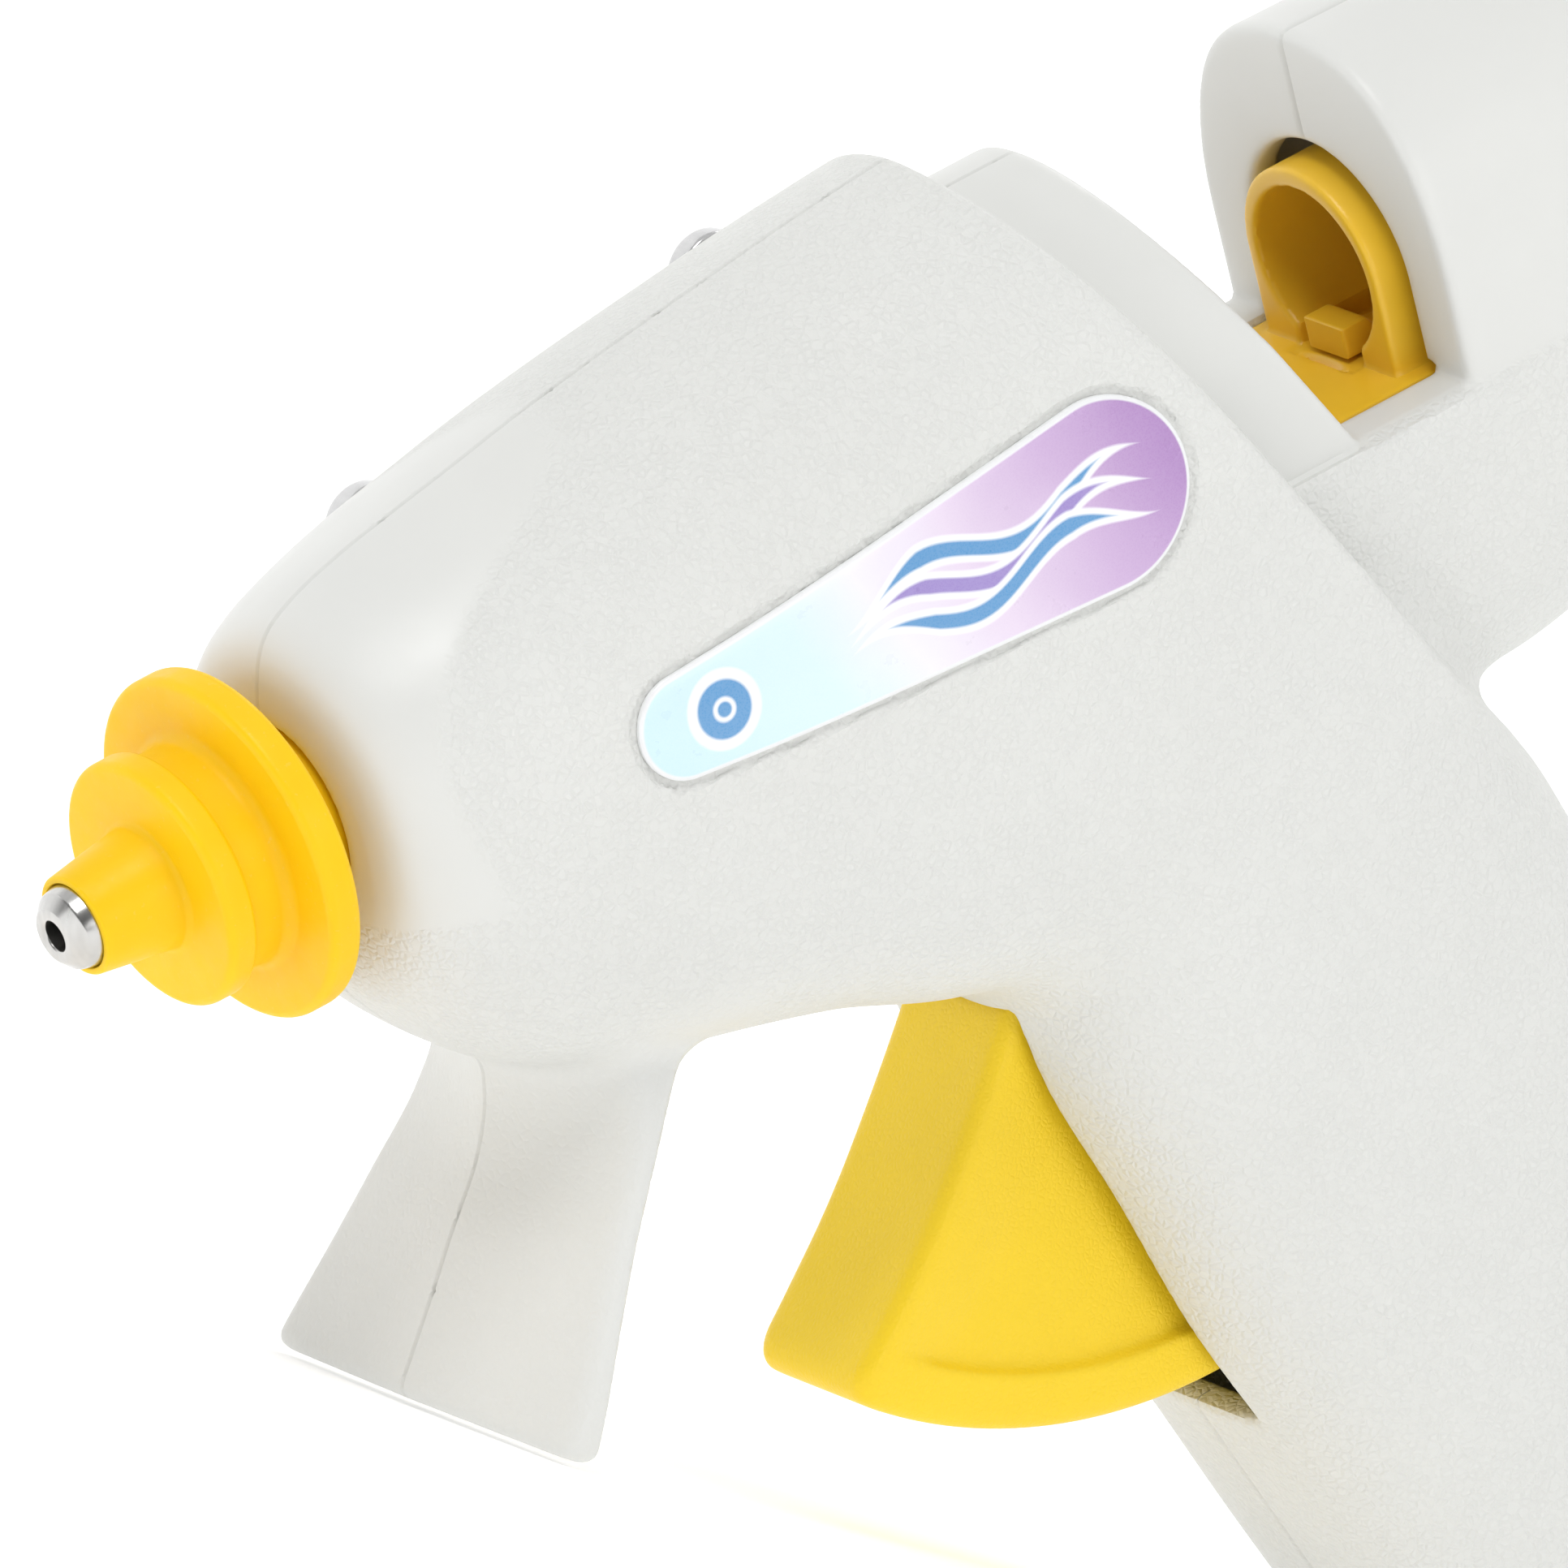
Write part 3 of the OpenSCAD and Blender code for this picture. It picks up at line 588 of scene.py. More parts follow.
def housing_half(name, side, step, material):
    """One half shell: its zero level cut off at the parting plane, with a fine chamfer there."""
    low, high = (-5, -18.4, -104), (124.5, 1.2, 24)
    if side > 0:
        low, high = (-5, -1.2, -104), (124.5, 18.4, 24)
    points, quads = surface_nets(housing_field(side), low, high, step)
    mesh = bpy.data.meshes.new(name)
    mesh.from_pydata(points.tolist(), [], quads.tolist())
    bm = bmesh.new()
    bm.from_mesh(mesh)
    gap, chamfer = 0.05, 0.22
    for offset in (gap + chamfer, gap):
        geom = bm.verts[:] + bm.edges[:] + bm.faces[:]
        bmesh.ops.bisect_plane(
            bm, geom=geom, dist=1e-5, plane_co=(0, side * offset, 0), plane_no=(0, -side, 0),
            clear_outer=offset == gap,
        )
    rim = [v for v in bm.verts if abs(v.co.y - side * gap) < 1e-4]
    x, y, z = np.array([v.co[:] for v in rim]).T
    eps = 0.05
    g = outer_form(x, y, z)
    gx, gz = outer_form(x + eps, y, z) - g, outer_form(x, y, z + eps) - g
    size = np.hypot(gx, gz) + 1e-9
    near = np.clip(1 - np.abs(g) / 0.3, 0, 1)
    for v, dx, dz, w in zip(rim, gx / size, gz / size, near):
        v.co.x -= dx * chamfer * w * 0.8
        v.co.z -= dz * chamfer * w * 0.8
    edges = [e for e in bm.edges if e.is_boundary]
    bmesh.ops.triangle_fill(bm, edges=edges, use_beauty=True, use_dissolve=False)
    bmesh.ops.recalc_face_normals(bm, faces=bm.faces)
    bm.to_mesh(mesh)
    bm.free()
    spots = np.empty(len(mesh.vertices) * 3)
    mesh.vertices.foreach_get("co", spots)
    x, y, z = spots.reshape(-1, 3).T
    # Grained wherever the front body, the handle and the rear below its ledge show; smooth above.
    grained = np.minimum(front_body(x, y, z), handle(x, y, z))
    mask = np.clip(0.5 + (rear_loft(x, y, z) - grained) * 2.5, 0, 1)
    mask = np.where(z < LEDGE_Z, 1, mask)
    mask *= 1 - 0.7 * ramp01((-16 - z) / 5) * ramp01((27 - x) / 4)
    mesh.vertices.foreach_set("co", to_row(np.stack([x, y, z], 1)).ravel())
    obj = finish_mesh(mesh, material, 42)
    point_attribute(obj, "grain", mask)
    return obj


# ---------- materials ----------
class Finish:
    """A node material on object coordinates, built up in a few calls."""

    def __init__(self, name, **sockets):
        self.material = bpy.data.materials.new(name)
        self.material.use_nodes = True
        self.tree = self.material.node_tree
        self.shader = self.tree.nodes["Principled BSDF"]
        self.coord = self.tree.nodes.new("ShaderNodeTexCoord").outputs["Object"]
        for key, value in sockets.items():
            self.shader.inputs[key.replace("_", " ")].default_value = value

    def node(self, kind, values=(), **settings):
        n = self.tree.nodes.new(kind)
        for key, value in settings.items():
            setattr(n, key, value)
        for key, value in dict(values).items():
            if isinstance(value, bpy.types.NodeSocket):
                self.tree.links.new(value, n.inputs[key])
            else:
                n.inputs[key].default_value = value
        return n

    def noise(self, scale, detail):
        values = {"Vector": self.coord, "Scale": scale, "Detail": detail, "Roughness": 0.55}
        return self.node("ShaderNodeTexNoise", values).outputs["Fac"]

    def cells(self, scale, feature="DISTANCE_TO_EDGE"):
        values = {"Vector": self.coord, "Scale": scale, "Randomness": 0.95}
        return self.node("ShaderNodeTexVoronoi", values, feature=feature).outputs["Distance"]

    def attribute(self, name):
        return self.node("ShaderNodeAttribute", attribute_name=name).outputs["Fac"]

    def edges(self, low, high):
        """One along convex edges, nought elsewhere."""
        point = self.node("ShaderNodeNewGeometry").outputs["Pointiness"]
        return self.spread(point, low, high, 0, 1)

    def spread(self, value, a, b, low, high):
        values = {"Value": value, "From Min": a, "From Max": b, "To Min": low, "To Max": high}
        return self.node("ShaderNodeMapRange", values).outputs["Result"]

    def maths(self, operation, a, b):
        return self.node("ShaderNodeMath", {0: a, 1: b}, operation=operation).outputs[0]

    def ramp(self, value, stops):
        n = self.node("ShaderNodeValToRGB", {"Fac": value})
        bar = n.color_ramp.elements
        while len(bar) < len(stops):
            bar.new(0.5)
        for element, (at, colour) in zip(bar, stops):
            element.position = at
            element.color = (*colour, 1)
        return n.outputs["Color"]

    def mix(self, factor, a, b):
        n = self.node("ShaderNodeMix", data_type="RGBA")
        for index, value in ((0, factor), (6, a), (7, b)):  # a colour mix reads sockets 6 and 7
            if isinstance(value, bpy.types.NodeSocket):
                self.tree.links.new(value, n.inputs[index])
            else:
                n.inputs[index].default_value = (*value, 1) if index else value
        return n.outputs[2]

    def bump(self, height, strength, distance, before=None):
        values = {"Height": height, "Strength": strength, "Distance": distance}
        if before is not None:
            values["Normal"] = before
        return self.node("ShaderNodeBump", values).outputs["Normal"]

    def to(self, socket, value):
        self.tree.links.new(value, self.shader.inputs[socket])
        return self


def scaled(colour, k):
    return tuple(min(1.0, c * k) for c in colour)


def moulded(
    name, colour, roughness, grain=False, cell=0.42, spread=0.05, edge_wear_and_highlight_amount=0.35, edge_wear_and_highlight_gain=1.08,
    depth=1.0, **sockets,
):
    """Injection-moulded plastic: slow colour drift, a few specks, satin grain, and paler convex
    edges that are partly wear and partly a painted highlight.

    cell is the grain's size in millimetres; with grain "attribute" it follows the mesh's mask.
    """
    f = Finish(name, **sockets)
    slow = f.ramp(f.noise(45, 3), [(0.3, scaled(colour, 1 - spread)), (0.7, colour)])
    speck = f.spread(f.noise(7000, 2), 0.72, 0.8, 0, 0.35)
    base = f.mix(speck, slow, scaled(colour, 0.86))
    # Convex edges painted paler in patches: partly rubbed wear, partly a painted highlight.
    edge_wear_and_highlight = f.maths("MULTIPLY", f.edges(0.56, 0.72), f.spread(f.noise(900, 4), 0.35, 0.65, 0, edge_wear_and_highlight_amount))
    f.to("Base Color", f.mix(edge_wear_and_highlight, base, scaled(colour, edge_wear_and_highlight_gain)))
    rough = f.spread(f.noise(260, 4), 0.3, 0.7, roughness - 0.06, roughness + 0.06)
    fine = f.bump(f.noise(9000, 2), 0.12, 0.00002)
    if grain:
        cells = f.spread(f.cells(1000 / cell), 0.02, 0.28, 0, 1)
        big = f.spread(f.noise(1000 / (cell * 2.2), 2), 0.3, 0.7, 0, 0.6)
        height = f.maths("ADD", cells, big)
        if grain == "attribute":
            mask = f.attribute("grain")
            height = f.maths("MULTIPLY", height, mask)
            rough = f.maths("ADD", rough, f.spread(mask, 0, 1, -0.12, 0.06))
        fine = f.bump(height, 0.9, 0.00006 * depth, fine)
    f.to("Normal", fine).to("Roughness", rough)
    return f.material


def metal(name, colour, roughness, brushed, tarnish=0.25):
    """Plated or drawn metal with fine scratches and a little tarnish."""
    f = Finish(name, Metallic=1.0)
    scale = f.node("ShaderNodeMapping", {"Vector": f.coord, "Scale": brushed})
    lines = f.node(
        "ShaderNodeTexNoise", {"Vector": scale.outputs[0], "Scale": 60.0, "Detail": 4.0}
    ).outputs["Fac"]
    stain = f.spread(f.noise(420, 4), 0.45, 0.75, 0, tarnish)
    base = f.ramp(lines, [(0.25, scaled(colour, 0.86)), (0.75, colour)])
    f.to("Base Color", f.mix(stain, base, scaled(colour, 0.55)))
    f.to("Roughness", f.spread(lines, 0.3, 0.7, roughness - 0.05, roughness + 0.08))
    f.to("Normal", f.bump(lines, 0.12, 0.00001))
    return f.material


def silicone(name, colour):
    """Soft cast silicone: even, slightly waxy, with pale dusty patches."""
    f = Finish(name, Subsurface_Weight=0.12, Subsurface_Scale=0.0015, Specular_IOR_Level=0.25)
    f.shader.inputs["Subsurface Radius"].default_value = (1.0, 0.6, 0.15)
    slow = f.ramp(f.noise(110, 3), [(0.3, scaled(colour, 0.93)), (0.7, colour)])
    dust = f.spread(f.noise(2600, 3), 0.64, 0.76, 0, 0.1)
    f.to("Base Color", f.mix(dust, slow, (0.95, 0.86, 0.5)))
    f.to("Roughness", f.spread(f.noise(700, 4), 0.3, 0.7, 0.36, 0.52))
    grain = f.bump(f.noise(3800, 4), 0.25, 0.00003)
    f.to("Normal", f.bump(f.noise(420, 2), 0.15, 0.00006, grain))
    return f.material


def ceramic(name, colour, roughness):
    """Dull mineral or fibre surface with pits."""
    f = Finish(name)
    slow = f.ramp(f.noise(320, 5), [(0.35, scaled(colour, 0.82)), (0.65, colour)])
    pits = f.spread(f.cells(2400, "F1"), 0.05, 0.3, 0, 1)
    f.to("Base Color", f.mix(f.spread(pits, 0, 1, 0.3, 0), slow, scaled(colour, 0.6)))
    f.to("Roughness", f.spread(f.noise(1500, 4), 0.3, 0.7, roughness - 0.1, roughness + 0.1))
    f.to("Normal", f.bump(pits, 0.3, 0.00004))
    return f.material


shell_plastic = moulded(
    "shell_plastic", (0.74, 0.745, 0.72), 0.5, "attribute", 0.6, 0.03, 0.08, 1.04,
    Specular_IOR_Level=0.42,
)
trigger_plastic = moulded(
    "trigger_plastic", (0.98, 0.68, 0.02), 0.42, True, 0.4, 0.06, 0.15, 1.06, 0.3,
    Specular_IOR_Level=0.35,
)
# The feeder's yellow is darker and more orange than the trigger's: painted shade from the hump over
# it.
feeder_plastic_shaded = moulded(
    "feeder_plastic_shaded", (0.90, 0.55, 0.03), 0.34, spread=0.06, edge_wear_and_highlight_amount=0.3, edge_wear_and_highlight_gain=1.1
)
dark_plastic = moulded("dark_plastic", (0.06, 0.06, 0.062), 0.5, True, 0.35, 0.2, 0.5, 1.8)
ivory_plastic = moulded("ivory_plastic", (0.72, 0.68, 0.56), 0.4)
film_plastic = moulded("film_polyimide", (0.72, 0.32, 0.04), 0.25, spread=0.15)
lead_jacket = moulded("lead_jacket", (0.74, 0.73, 0.70), 0.5, True, 0.5)
cover_silicone = silicone("cover_silicone", (1.0, 0.62, 0.004))
sleeve_silicone = silicone("sleeve_silicone", (0.62, 0.10, 0.035))
plated = metal("plated_nozzle", (0.66, 0.655, 0.64), 0.2, (6, 40, 6))
steel = metal("steel_pins", (0.56, 0.56, 0.57), 0.26, (3, 60, 3))
spring_steel = metal("spring_steel", (0.5, 0.5, 0.52), 0.28, (20, 20, 20))
screw_metal = metal("screw_zinc", (0.66, 0.66, 0.66), 0.2, (40, 8, 40), 0.3)
cast_metal = metal("cast_chamber", (0.62, 0.62, 0.63), 0.42, (9, 9, 9), 0.4)
brass = metal("brass_contacts", (0.72, 0.48, 0.2), 0.3, (30, 30, 30), 0.4)
heater_ceramic = ceramic("heater_ceramic", (0.16, 0.15, 0.145), 0.6)
collar_fibre = ceramic("collar_fibre", (0.33, 0.19, 0.09), 0.7)


def label_finish():
    """Printed foil: blue to pink to purple along its length, with three waves and a ring."""
    f = Finish("label_print", Coat_Weight=0.35, Coat_Roughness=0.12)
    bend = f.maths("ADD", f.attribute("along"), f.spread(f.attribute("across"), -1, 1, -0.05, 0.05))
    bend = f.maths("ADD", bend, f.spread(f.noise(90, 2), 0.3, 0.7, -0.03, 0.03))
    base = f.ramp(bend, [
        (0.0, (0.62, 0.84, 0.97)), (0.3, (0.70, 0.88, 0.97)), (0.45, (0.88, 0.86, 0.93)),
        (0.62, (0.80, 0.68, 0.84)), (0.8, (0.60, 0.42, 0.68)), (1.0, (0.43, 0.24, 0.54)),
    ])
    u, v = f.attribute("print u"), f.attribute("print v")

    def less(value, edge, soft=0.1):
        return f.spread(value, edge - soft, edge + soft, 1, 0)

    def disc(cx, r):
        du = f.maths("SUBTRACT", u, cx)
        squares = f.maths("ADD", f.maths("MULTIPLY", du, du), f.maths("MULTIPLY", v, v))
        return f.maths("SUBTRACT", f.maths("SQRT", squares, 0.5), r)

    def wave(phase, rise, height):
        swing = f.maths("SINE", f.maths("ADD", f.maths("MULTIPLY", u, 0.42), phase), 0.0)
        middle = f.maths("ADD", f.maths("MULTIPLY", swing, height), rise)
        return f.maths("ABSOLUTE", f.maths("SUBTRACT", v, middle), 0.0)

    from_middle = f.maths("ABSOLUTE", f.maths("SUBTRACT", u, 24.0), 0.0)
    taper = f.spread(from_middle, 5.5, 12.5, 0, 1.1)
    ink, violet, paper = (0.10, 0.32, 0.62), (0.34, 0.25, 0.60), (0.95, 0.96, 0.98)
    for phase, rise, tint in ((0.0, 1.5, ink), (0.9, 0.0, violet), (1.8, -1.5, ink)):
        line = f.maths("ADD", wave(phase, rise, 1.1), taper)
        base = f.mix(less(line, 0.95), base, paper)
        base = f.mix(less(line, 0.5), base, tint)
    for r, soft, tint in ((2.6, 0.1, paper), (1.9, 0.1, ink), (0.8, 0.1, paper), (0.5, 0.08, ink)):
        base = f.mix(less(disc(2.6, r), 0.0, soft), base, tint)
    screen = f.spread(f.cells(7200, "F1"), 0.1, 0.6, 0, 0.06)
    base = f.mix(screen, base, (1.0, 1.0, 1.0))
    border = less(f.attribute("edge"), 0.28, 0.06)
    f.to("Base Color", f.mix(border, base, (0.86, 0.87, 0.88)))
    f.to("Roughness", f.spread(f.noise(520, 4), 0.3, 0.7, 0.26, 0.42))
    f.to("Normal", f.bump(f.noise(2600, 4), 0.12, 0.00002))
    return f.material


# ---------- the pieces ----------
STEP, SCREW_STEP = (0.42, 0.13) if FINE else (0.65, 0.26)
# The trigger's front edge as z against x, drawn on a little past both of its ends
front_x = curve(
    [-53, *(z for _, z in TRIGGER_FRONT[::-1]), -22.9],
    [28.1, *(x for x, _ in TRIGGER_FRONT[::-1]), 53.9],
)
ARM, ARM_LEAN, ARM_END = 13.5, math.radians(15), 2.1
LINK = (PIVOT[0] + ARM * math.sin(ARM_LEAN), PIVOT[1] + ARM * math.cos(ARM_LEAN))
LINK_HOLE = 1.53
TRIGGER_HALF_W, LIP_R, POCKET_R = 5.6, 34.4, 35.8

arm_outline = polygon([
    (PIVOT[0] - 3.4, PIVOT[1]), (LINK[0] - ARM_END, LINK[1]), (LINK[0] + ARM_END, LINK[1]),
    (PIVOT[0] + 4.2, PIVOT[1]),
])
rear_edge = plane((PIVOT[0] + 3.4, PIVOT[1] + 1.5), round_pivot(TRIGGER_R, REST_END))
pocket_front = plane(PIVOT, round_pivot(40, 231))


def trigger_field(x, y, z):
    """Curved blade with a raised lip round its lower arc, hollow behind, on a hub with an arm."""
    a = np.abs(y)
    r = np.hypot(x - PIVOT[0], z - PIVOT[1])
    from_link = np.hypot(x - LINK[0], z - LINK[1])
    front = (front_x(z) - x) * 0.73
    blade = smax(front, r - TRIGGER_R, 2.4)
    blade = smax(blade, rear_edge(x, y, z), 0.8)
    blade = smax(blade, z - PIVOT[1] - 1.5, 0.8)
    sunk = (1 - ramp01((r - LIP_R) / 0.7)) * ramp01((-front - 0.5) / 7.0)
    sunk = sunk * (1 - ramp01((22 - r) / 12))
    body = smax(blade, a - TRIGGER_HALF_W + 0.8 * sunk, 1.3)
    hub = smax(r - 4.4, a - TRIGGER_HALF_W, 0.6)
    arm = smax(np.minimum(arm_outline(x, z), from_link - ARM_END), a - 3.4, 0.5)
    d = smin(smin(body, hub, 0.6), arm, 0.6)
    pocket = smax(smax(9 - r, r - POCKET_R, 1.0), smax(-pocket_front(x, y, z), a - 3.8, 1.0), 1.0)
    d = smax(d, -pocket, 0.6)
    return smax(d, -np.minimum(r - PIVOT_HOLE, from_link - LINK_HOLE), 0.2)


def box3(x, y, z, centre, half, edge=0.4):
    """Distance to a box with rounded edges."""
    q = [np.abs(c - m) - h + edge for c, m, h in zip((x, y, z), centre, half)]
    outside = np.sqrt(sum(np.maximum(c, 0) ** 2 for c in q))
    return outside + np.minimum(np.maximum(np.maximum(q[0], q[1]), q[2]), 0) - edge


DECK_TOP, DECK_H = -6.1, 2.4
DECK_LOW = DECK_TOP - DECK_H
FEEDER_X, FEEDER_LEN, FEEDER_R = 84.4, 17.0, 6.7
STICK_BORE, STICK_DROP = 5.65, 0.2
GRIP_PIVOT = (93.0, -7.9)
SPRING_Z, EAR_X, POST_X = -11.4, 102.4, 115.4


def under_deck(x, a, z, at, across, half, low, edge):
    """A pair of plates that hang from inside the deck down to a height."""
    high = DECK_LOW + 0.5
    half_x, half_y = half
    centre = (at, across, (low + high) / 2)
    return box3(x, a, z, centre, (half_x, half_y, (high - low) / 2), edge)


def carriage_field(x, y, z):
    """Deck on the runners, the keyhole block that takes the stick, lugs, ears and a pin pad."""
    a = np.abs(y)
    deck = box3(x, y, z, (80.3, 0, DECK_TOP - DECK_H / 2), (23.7, 8.2, DECK_H / 2), 0.3)
    tower = np.minimum(
        np.hypot(y, z) - FEEDER_R, np.maximum(np.maximum(a - FEEDER_R, z), DECK_TOP - 1 - z)
    )
    ends = np.maximum(FEEDER_X - x, x - FEEDER_X - FEEDER_LEN)
    lugs = under_deck(x, a, z, LINK[0], 5, (3, 1.2), LINK[1] - 3, 0.4)
    ears = under_deck(x, a, z, EAR_X, 3.6, (1.6, 0.8), SPRING_Z - 1.8, 0.3)
    rod = np.maximum(np.hypot(x - EAR_X, z - SPRING_Z) - 0.9, a - 4)
    pad = box3(x, y, z, (GRIP_PIVOT[0], 0, GRIP_PIVOT[1] - 0.9), (2.4, 6, 1.2), 0.3)
    d = smin(deck, smax(tower, ends, 0.35), 0.25)
    for part in (lugs, ears, rod, pad):
        d = smin(d, part, 0.3)
    bore = np.hypot(y, z + STICK_DROP) - STICK_BORE
    funnel = bore - np.clip(FEEDER_X + 0.15 - x, 0, 1)
    slot = np.maximum(np.maximum(a - 3.2, z + 1), DECK_TOP - 0.1 - z)
    keyhole = np.maximum(np.minimum(np.minimum(bore, funnel), slot), FEEDER_X - 1 - x)
    d = smax(d, -keyhole, 0.3)
    link_slot = np.maximum(box2(x, z, LINK[0], LINK[1] + 0.3, 1.65, 1.8), a - 8)
    lever_slot = np.maximum(box2(x, z, 91.2, -8.5, 4.6, 3.2), a - 2.3)
    pin = np.maximum(np.hypot(x - GRIP_PIVOT[0], z - GRIP_PIVOT[1]) - 1.02, a - 6)
    return smax(d, -np.minimum(np.minimum(link_slot, lever_slot), pin), 0.2)


lever_outline = polygon([
    (84.2, -5.9), (84.2, -3.8), (86.2, -3.8), (87.6, -5.6), (93, -6.1), (93, -8.3), (88.2, -8.3),
    (87.2, -5.9),
])


def lever_field(x, y, z):
    """Tooth on an arm that turns about its pin."""
    r = np.hypot(x - GRIP_PIVOT[0], z - GRIP_PIVOT[1])
    d = smin(lever_outline(x, z), r - 1.9, 0.4)
    d = smax(d, np.abs(y) - 2.0, 0.2)
    return smax(d, 1.04 - r, 0.15)


def screw_mesh(seat, step):
    """Pan head with a tapered cross recess on a threaded shank; y grows out of the head."""
    head_r, head_h, shank_r, tip = 2.9, 2.3, 1.3, 4 - seat
    pitch, thread = 1.1, 0.3

    def field(x, y, z):
        r, t = np.hypot(x, z), y - seat
        dome = smax(r - head_r + 0.05 * (t - 0.4) ** 2, t - head_h + 0.055 * r * r, 0.5)
        dome = smax(dome, -t, 0.3)
        phase = (y / pitch - np.arctan2(z, x) / (2 * math.pi)) % 1.0
        ridge = thread * np.clip(1 - np.abs(phase - 0.5) * 3.2, 0, 1)
        ridge *= np.clip(seat - 1.5 - y, 0, 1)
        taper = 0.75 * np.clip((tip + 1.6 - y) / 1.6, 0, 1)
        ends = np.maximum(tip - y, y - seat - 0.6)
        shank = smax((r - shank_r + thread - ridge + taper) * 0.8, ends, 0.2)
        d = smin(dome, shank, 0.3)
        depth = head_h - 1.6 + 0.75 * np.minimum(np.abs(x) + np.abs(z), 3)
        narrow = np.minimum(np.abs(x), np.abs(z)) - 0.38 - 0.03 * t
        wide = np.maximum(np.abs(x), np.abs(z)) - 1.65
        cross = np.maximum(np.maximum(narrow, wide), (depth - t) * 0.8)
        return smax(d, -cross, 0.15)

    return surface_nets(field, (-3.2, tip - 0.4, -3.2), (3.2, seat + head_h + 0.4, 3.2), step)


def joined(parts):
    """Several (points, faces) as one."""
    points, faces, base = [], [], 0
    for p, f in parts:
        points.append(np.asarray(p))
        faces += [tuple(int(i) + base for i in face) for face in f]
        base += len(p)
    return np.concatenate(points), faces


def label_plate():
    """Thin foil lying in its recess, following the near side of the body."""
    lean = math.acos(LABEL_SLOPE)
    half = [(0.0, LABEL_R, a) for a in np.linspace(math.pi, lean, 24)]
    for t in np.linspace(0, 1, 72)[1:-1]:
        half.append((t * LABEL_LEN, LABEL_R + t * (LABEL_R2 - LABEL_R), lean))
    half += [(LABEL_LEN, LABEL_R2, a) for a in np.linspace(lean, 0, 24)]
    rows = half + [(c, r, -a) for c, r, a in half[::-1][1:-1]]
    # Each ring's inset from the edge and depth under the body's surface; None is the middle line.
    rings = [(0.0, 0.42), (0.0, 0.20), (0.08, 0.12)]
    rings += [(w, 0.10) for w in (0.3, 0.8, 1.6, 2.6)] + [(None, 0.10)]
    spots, sink = [], []
    for inset, depth in rings:
        for c, r, a in rows:
            reach = 0.0 if inset is None else r - inset if inset < 1 else r * (1 - inset / LABEL_R)
            spots.append((c + reach * math.cos(a), reach * math.sin(a)))
            sink.append(depth)
    u, v = np.array(spots).T
    x, z = LABEL_X + u * LABEL_UX - v * LABEL_UZ, LABEL_Z + u * LABEL_UZ + v * LABEL_UX
    outside, inside = np.full_like(x, -19.0), np.full_like(x, -11.0)
    for _ in range(30):
        y = (outside + inside) / 2
        out = body_loft(x, y, z) > 0
        outside, inside = np.where(out, y, outside), np.where(out, inside, y)
    n = len(rows)
    faces = [
        (k * n + i, k * n + (i + 1) % n, (k + 1) * n + (i + 1) % n, (k + 1) * n + i)
        for k in range(len(rings) - 1) for i in range(n)
    ]
    faces.append(tuple(range(n))[::-1])
    return np.stack([x, y + sink, z], 1), faces, u, v


def spring_path():
    """Hook round the carriage's rod, coils, and hook round the housing's post."""
    coil_r, turns, loop_r = 2.1, 9, 1.75
    x0, x1 = EAR_X + 3, POST_X - 3.2
    path = [
        (EAR_X - loop_r * math.cos(a), 0, SPRING_Z - loop_r * math.sin(a))
        for a in np.radians(np.arange(-150, 151, 10))
    ]
    for i in range(turns * 36 + 1):
        a = math.pi / 2 + 2 * math.pi * i / 36
        x = x0 + (x1 - x0) * i / turns / 36
        path.append((x, coil_r * math.cos(a), SPRING_Z + coil_r * math.sin(a)))
    path += [
        (POST_X + loop_r * math.cos(a), 0, SPRING_Z + loop_r * math.sin(a))
        for a in np.radians(np.arange(150, -151, -10))
    ]
    return path


near_half = housing_half("shell_near", -1, STEP, shell_plastic)
far_half = housing_half("shell_far", 1, STEP, shell_plastic)
for piece, node in ((near_half, "housing_left"), (far_half, "housing_right")):
    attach(piece, "housing")
    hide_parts(node)

trigger = from_field(
    "finger_trigger", trigger_field, (26.5, -6.8, -64), (66, 6.8, -7.5), STEP * 0.8,
    trigger_plastic, 50,
)
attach(trigger, "trigger")
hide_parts("trigger")

carriage = from_field(
    "stick_feeder", carriage_field, (55.8, -10.4, -15), (105, 10.4, 7.9), STEP * 0.65,
    feeder_plastic_shaded, 40,
)
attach(carriage, "carriage")
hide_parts("feeder_carriage")

lever = from_field(
    "grip_tooth", lever_field, (83.8, -2.8, -10.4), (95.4, 2.8, -3), STEP * 0.35,
    feeder_plastic_shaded, 40,
)
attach(lever, "grip")
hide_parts("grip_lever")

# Turned pieces: (radius, place along the barrel) of each corner, then the corners' radii
cover_profile = filleted(
    [(2.85, -13.5), (3.3, -13.5), (4.15, -7.7), (8.2, -7.7), (8.2, -5.6), (7.4, -5.6),
     (7.4, -2.4), (11.45, -2.4), (11.45, 0), (6.1, 0), (6.1, 4.5), (3.45, 4.5), (3.45, -10),
     (2.85, -11.3)],
    [0.1, 0.35, 0.5, 0.6, 0.6, 1.0, 0.9, 0.6, 0.6, 0.2, 0.3, 0.1, 0.1, 0.1], 8,
)
cover = lathe("nozzle_sleeve", cover_profile, cover_silicone, angle=60)
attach(cover, "housing")
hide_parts("nozzle_cover")

tip_profile = filleted(
    [(1.0, -15.1), (1.75, -15.1), (2.55, -14.3), (2.8, -13.3), (2.8, -11.0), (3.4, -10.0),
     (3.4, 4.6), (3, 4.6), (3, 11), (1.8, 11), (1.8, -10), (1.0, -12)],
    [0.25, 0.3, 0.4, 0.2, 0.1, 0.2, 0.2, 0.1, 0.2, 0.1, 0.2, 0.1], 6,
)
tip = lathe("nozzle_point", tip_profile, plated, angle=50)
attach(tip, "housing")
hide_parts("nozzle_tip")

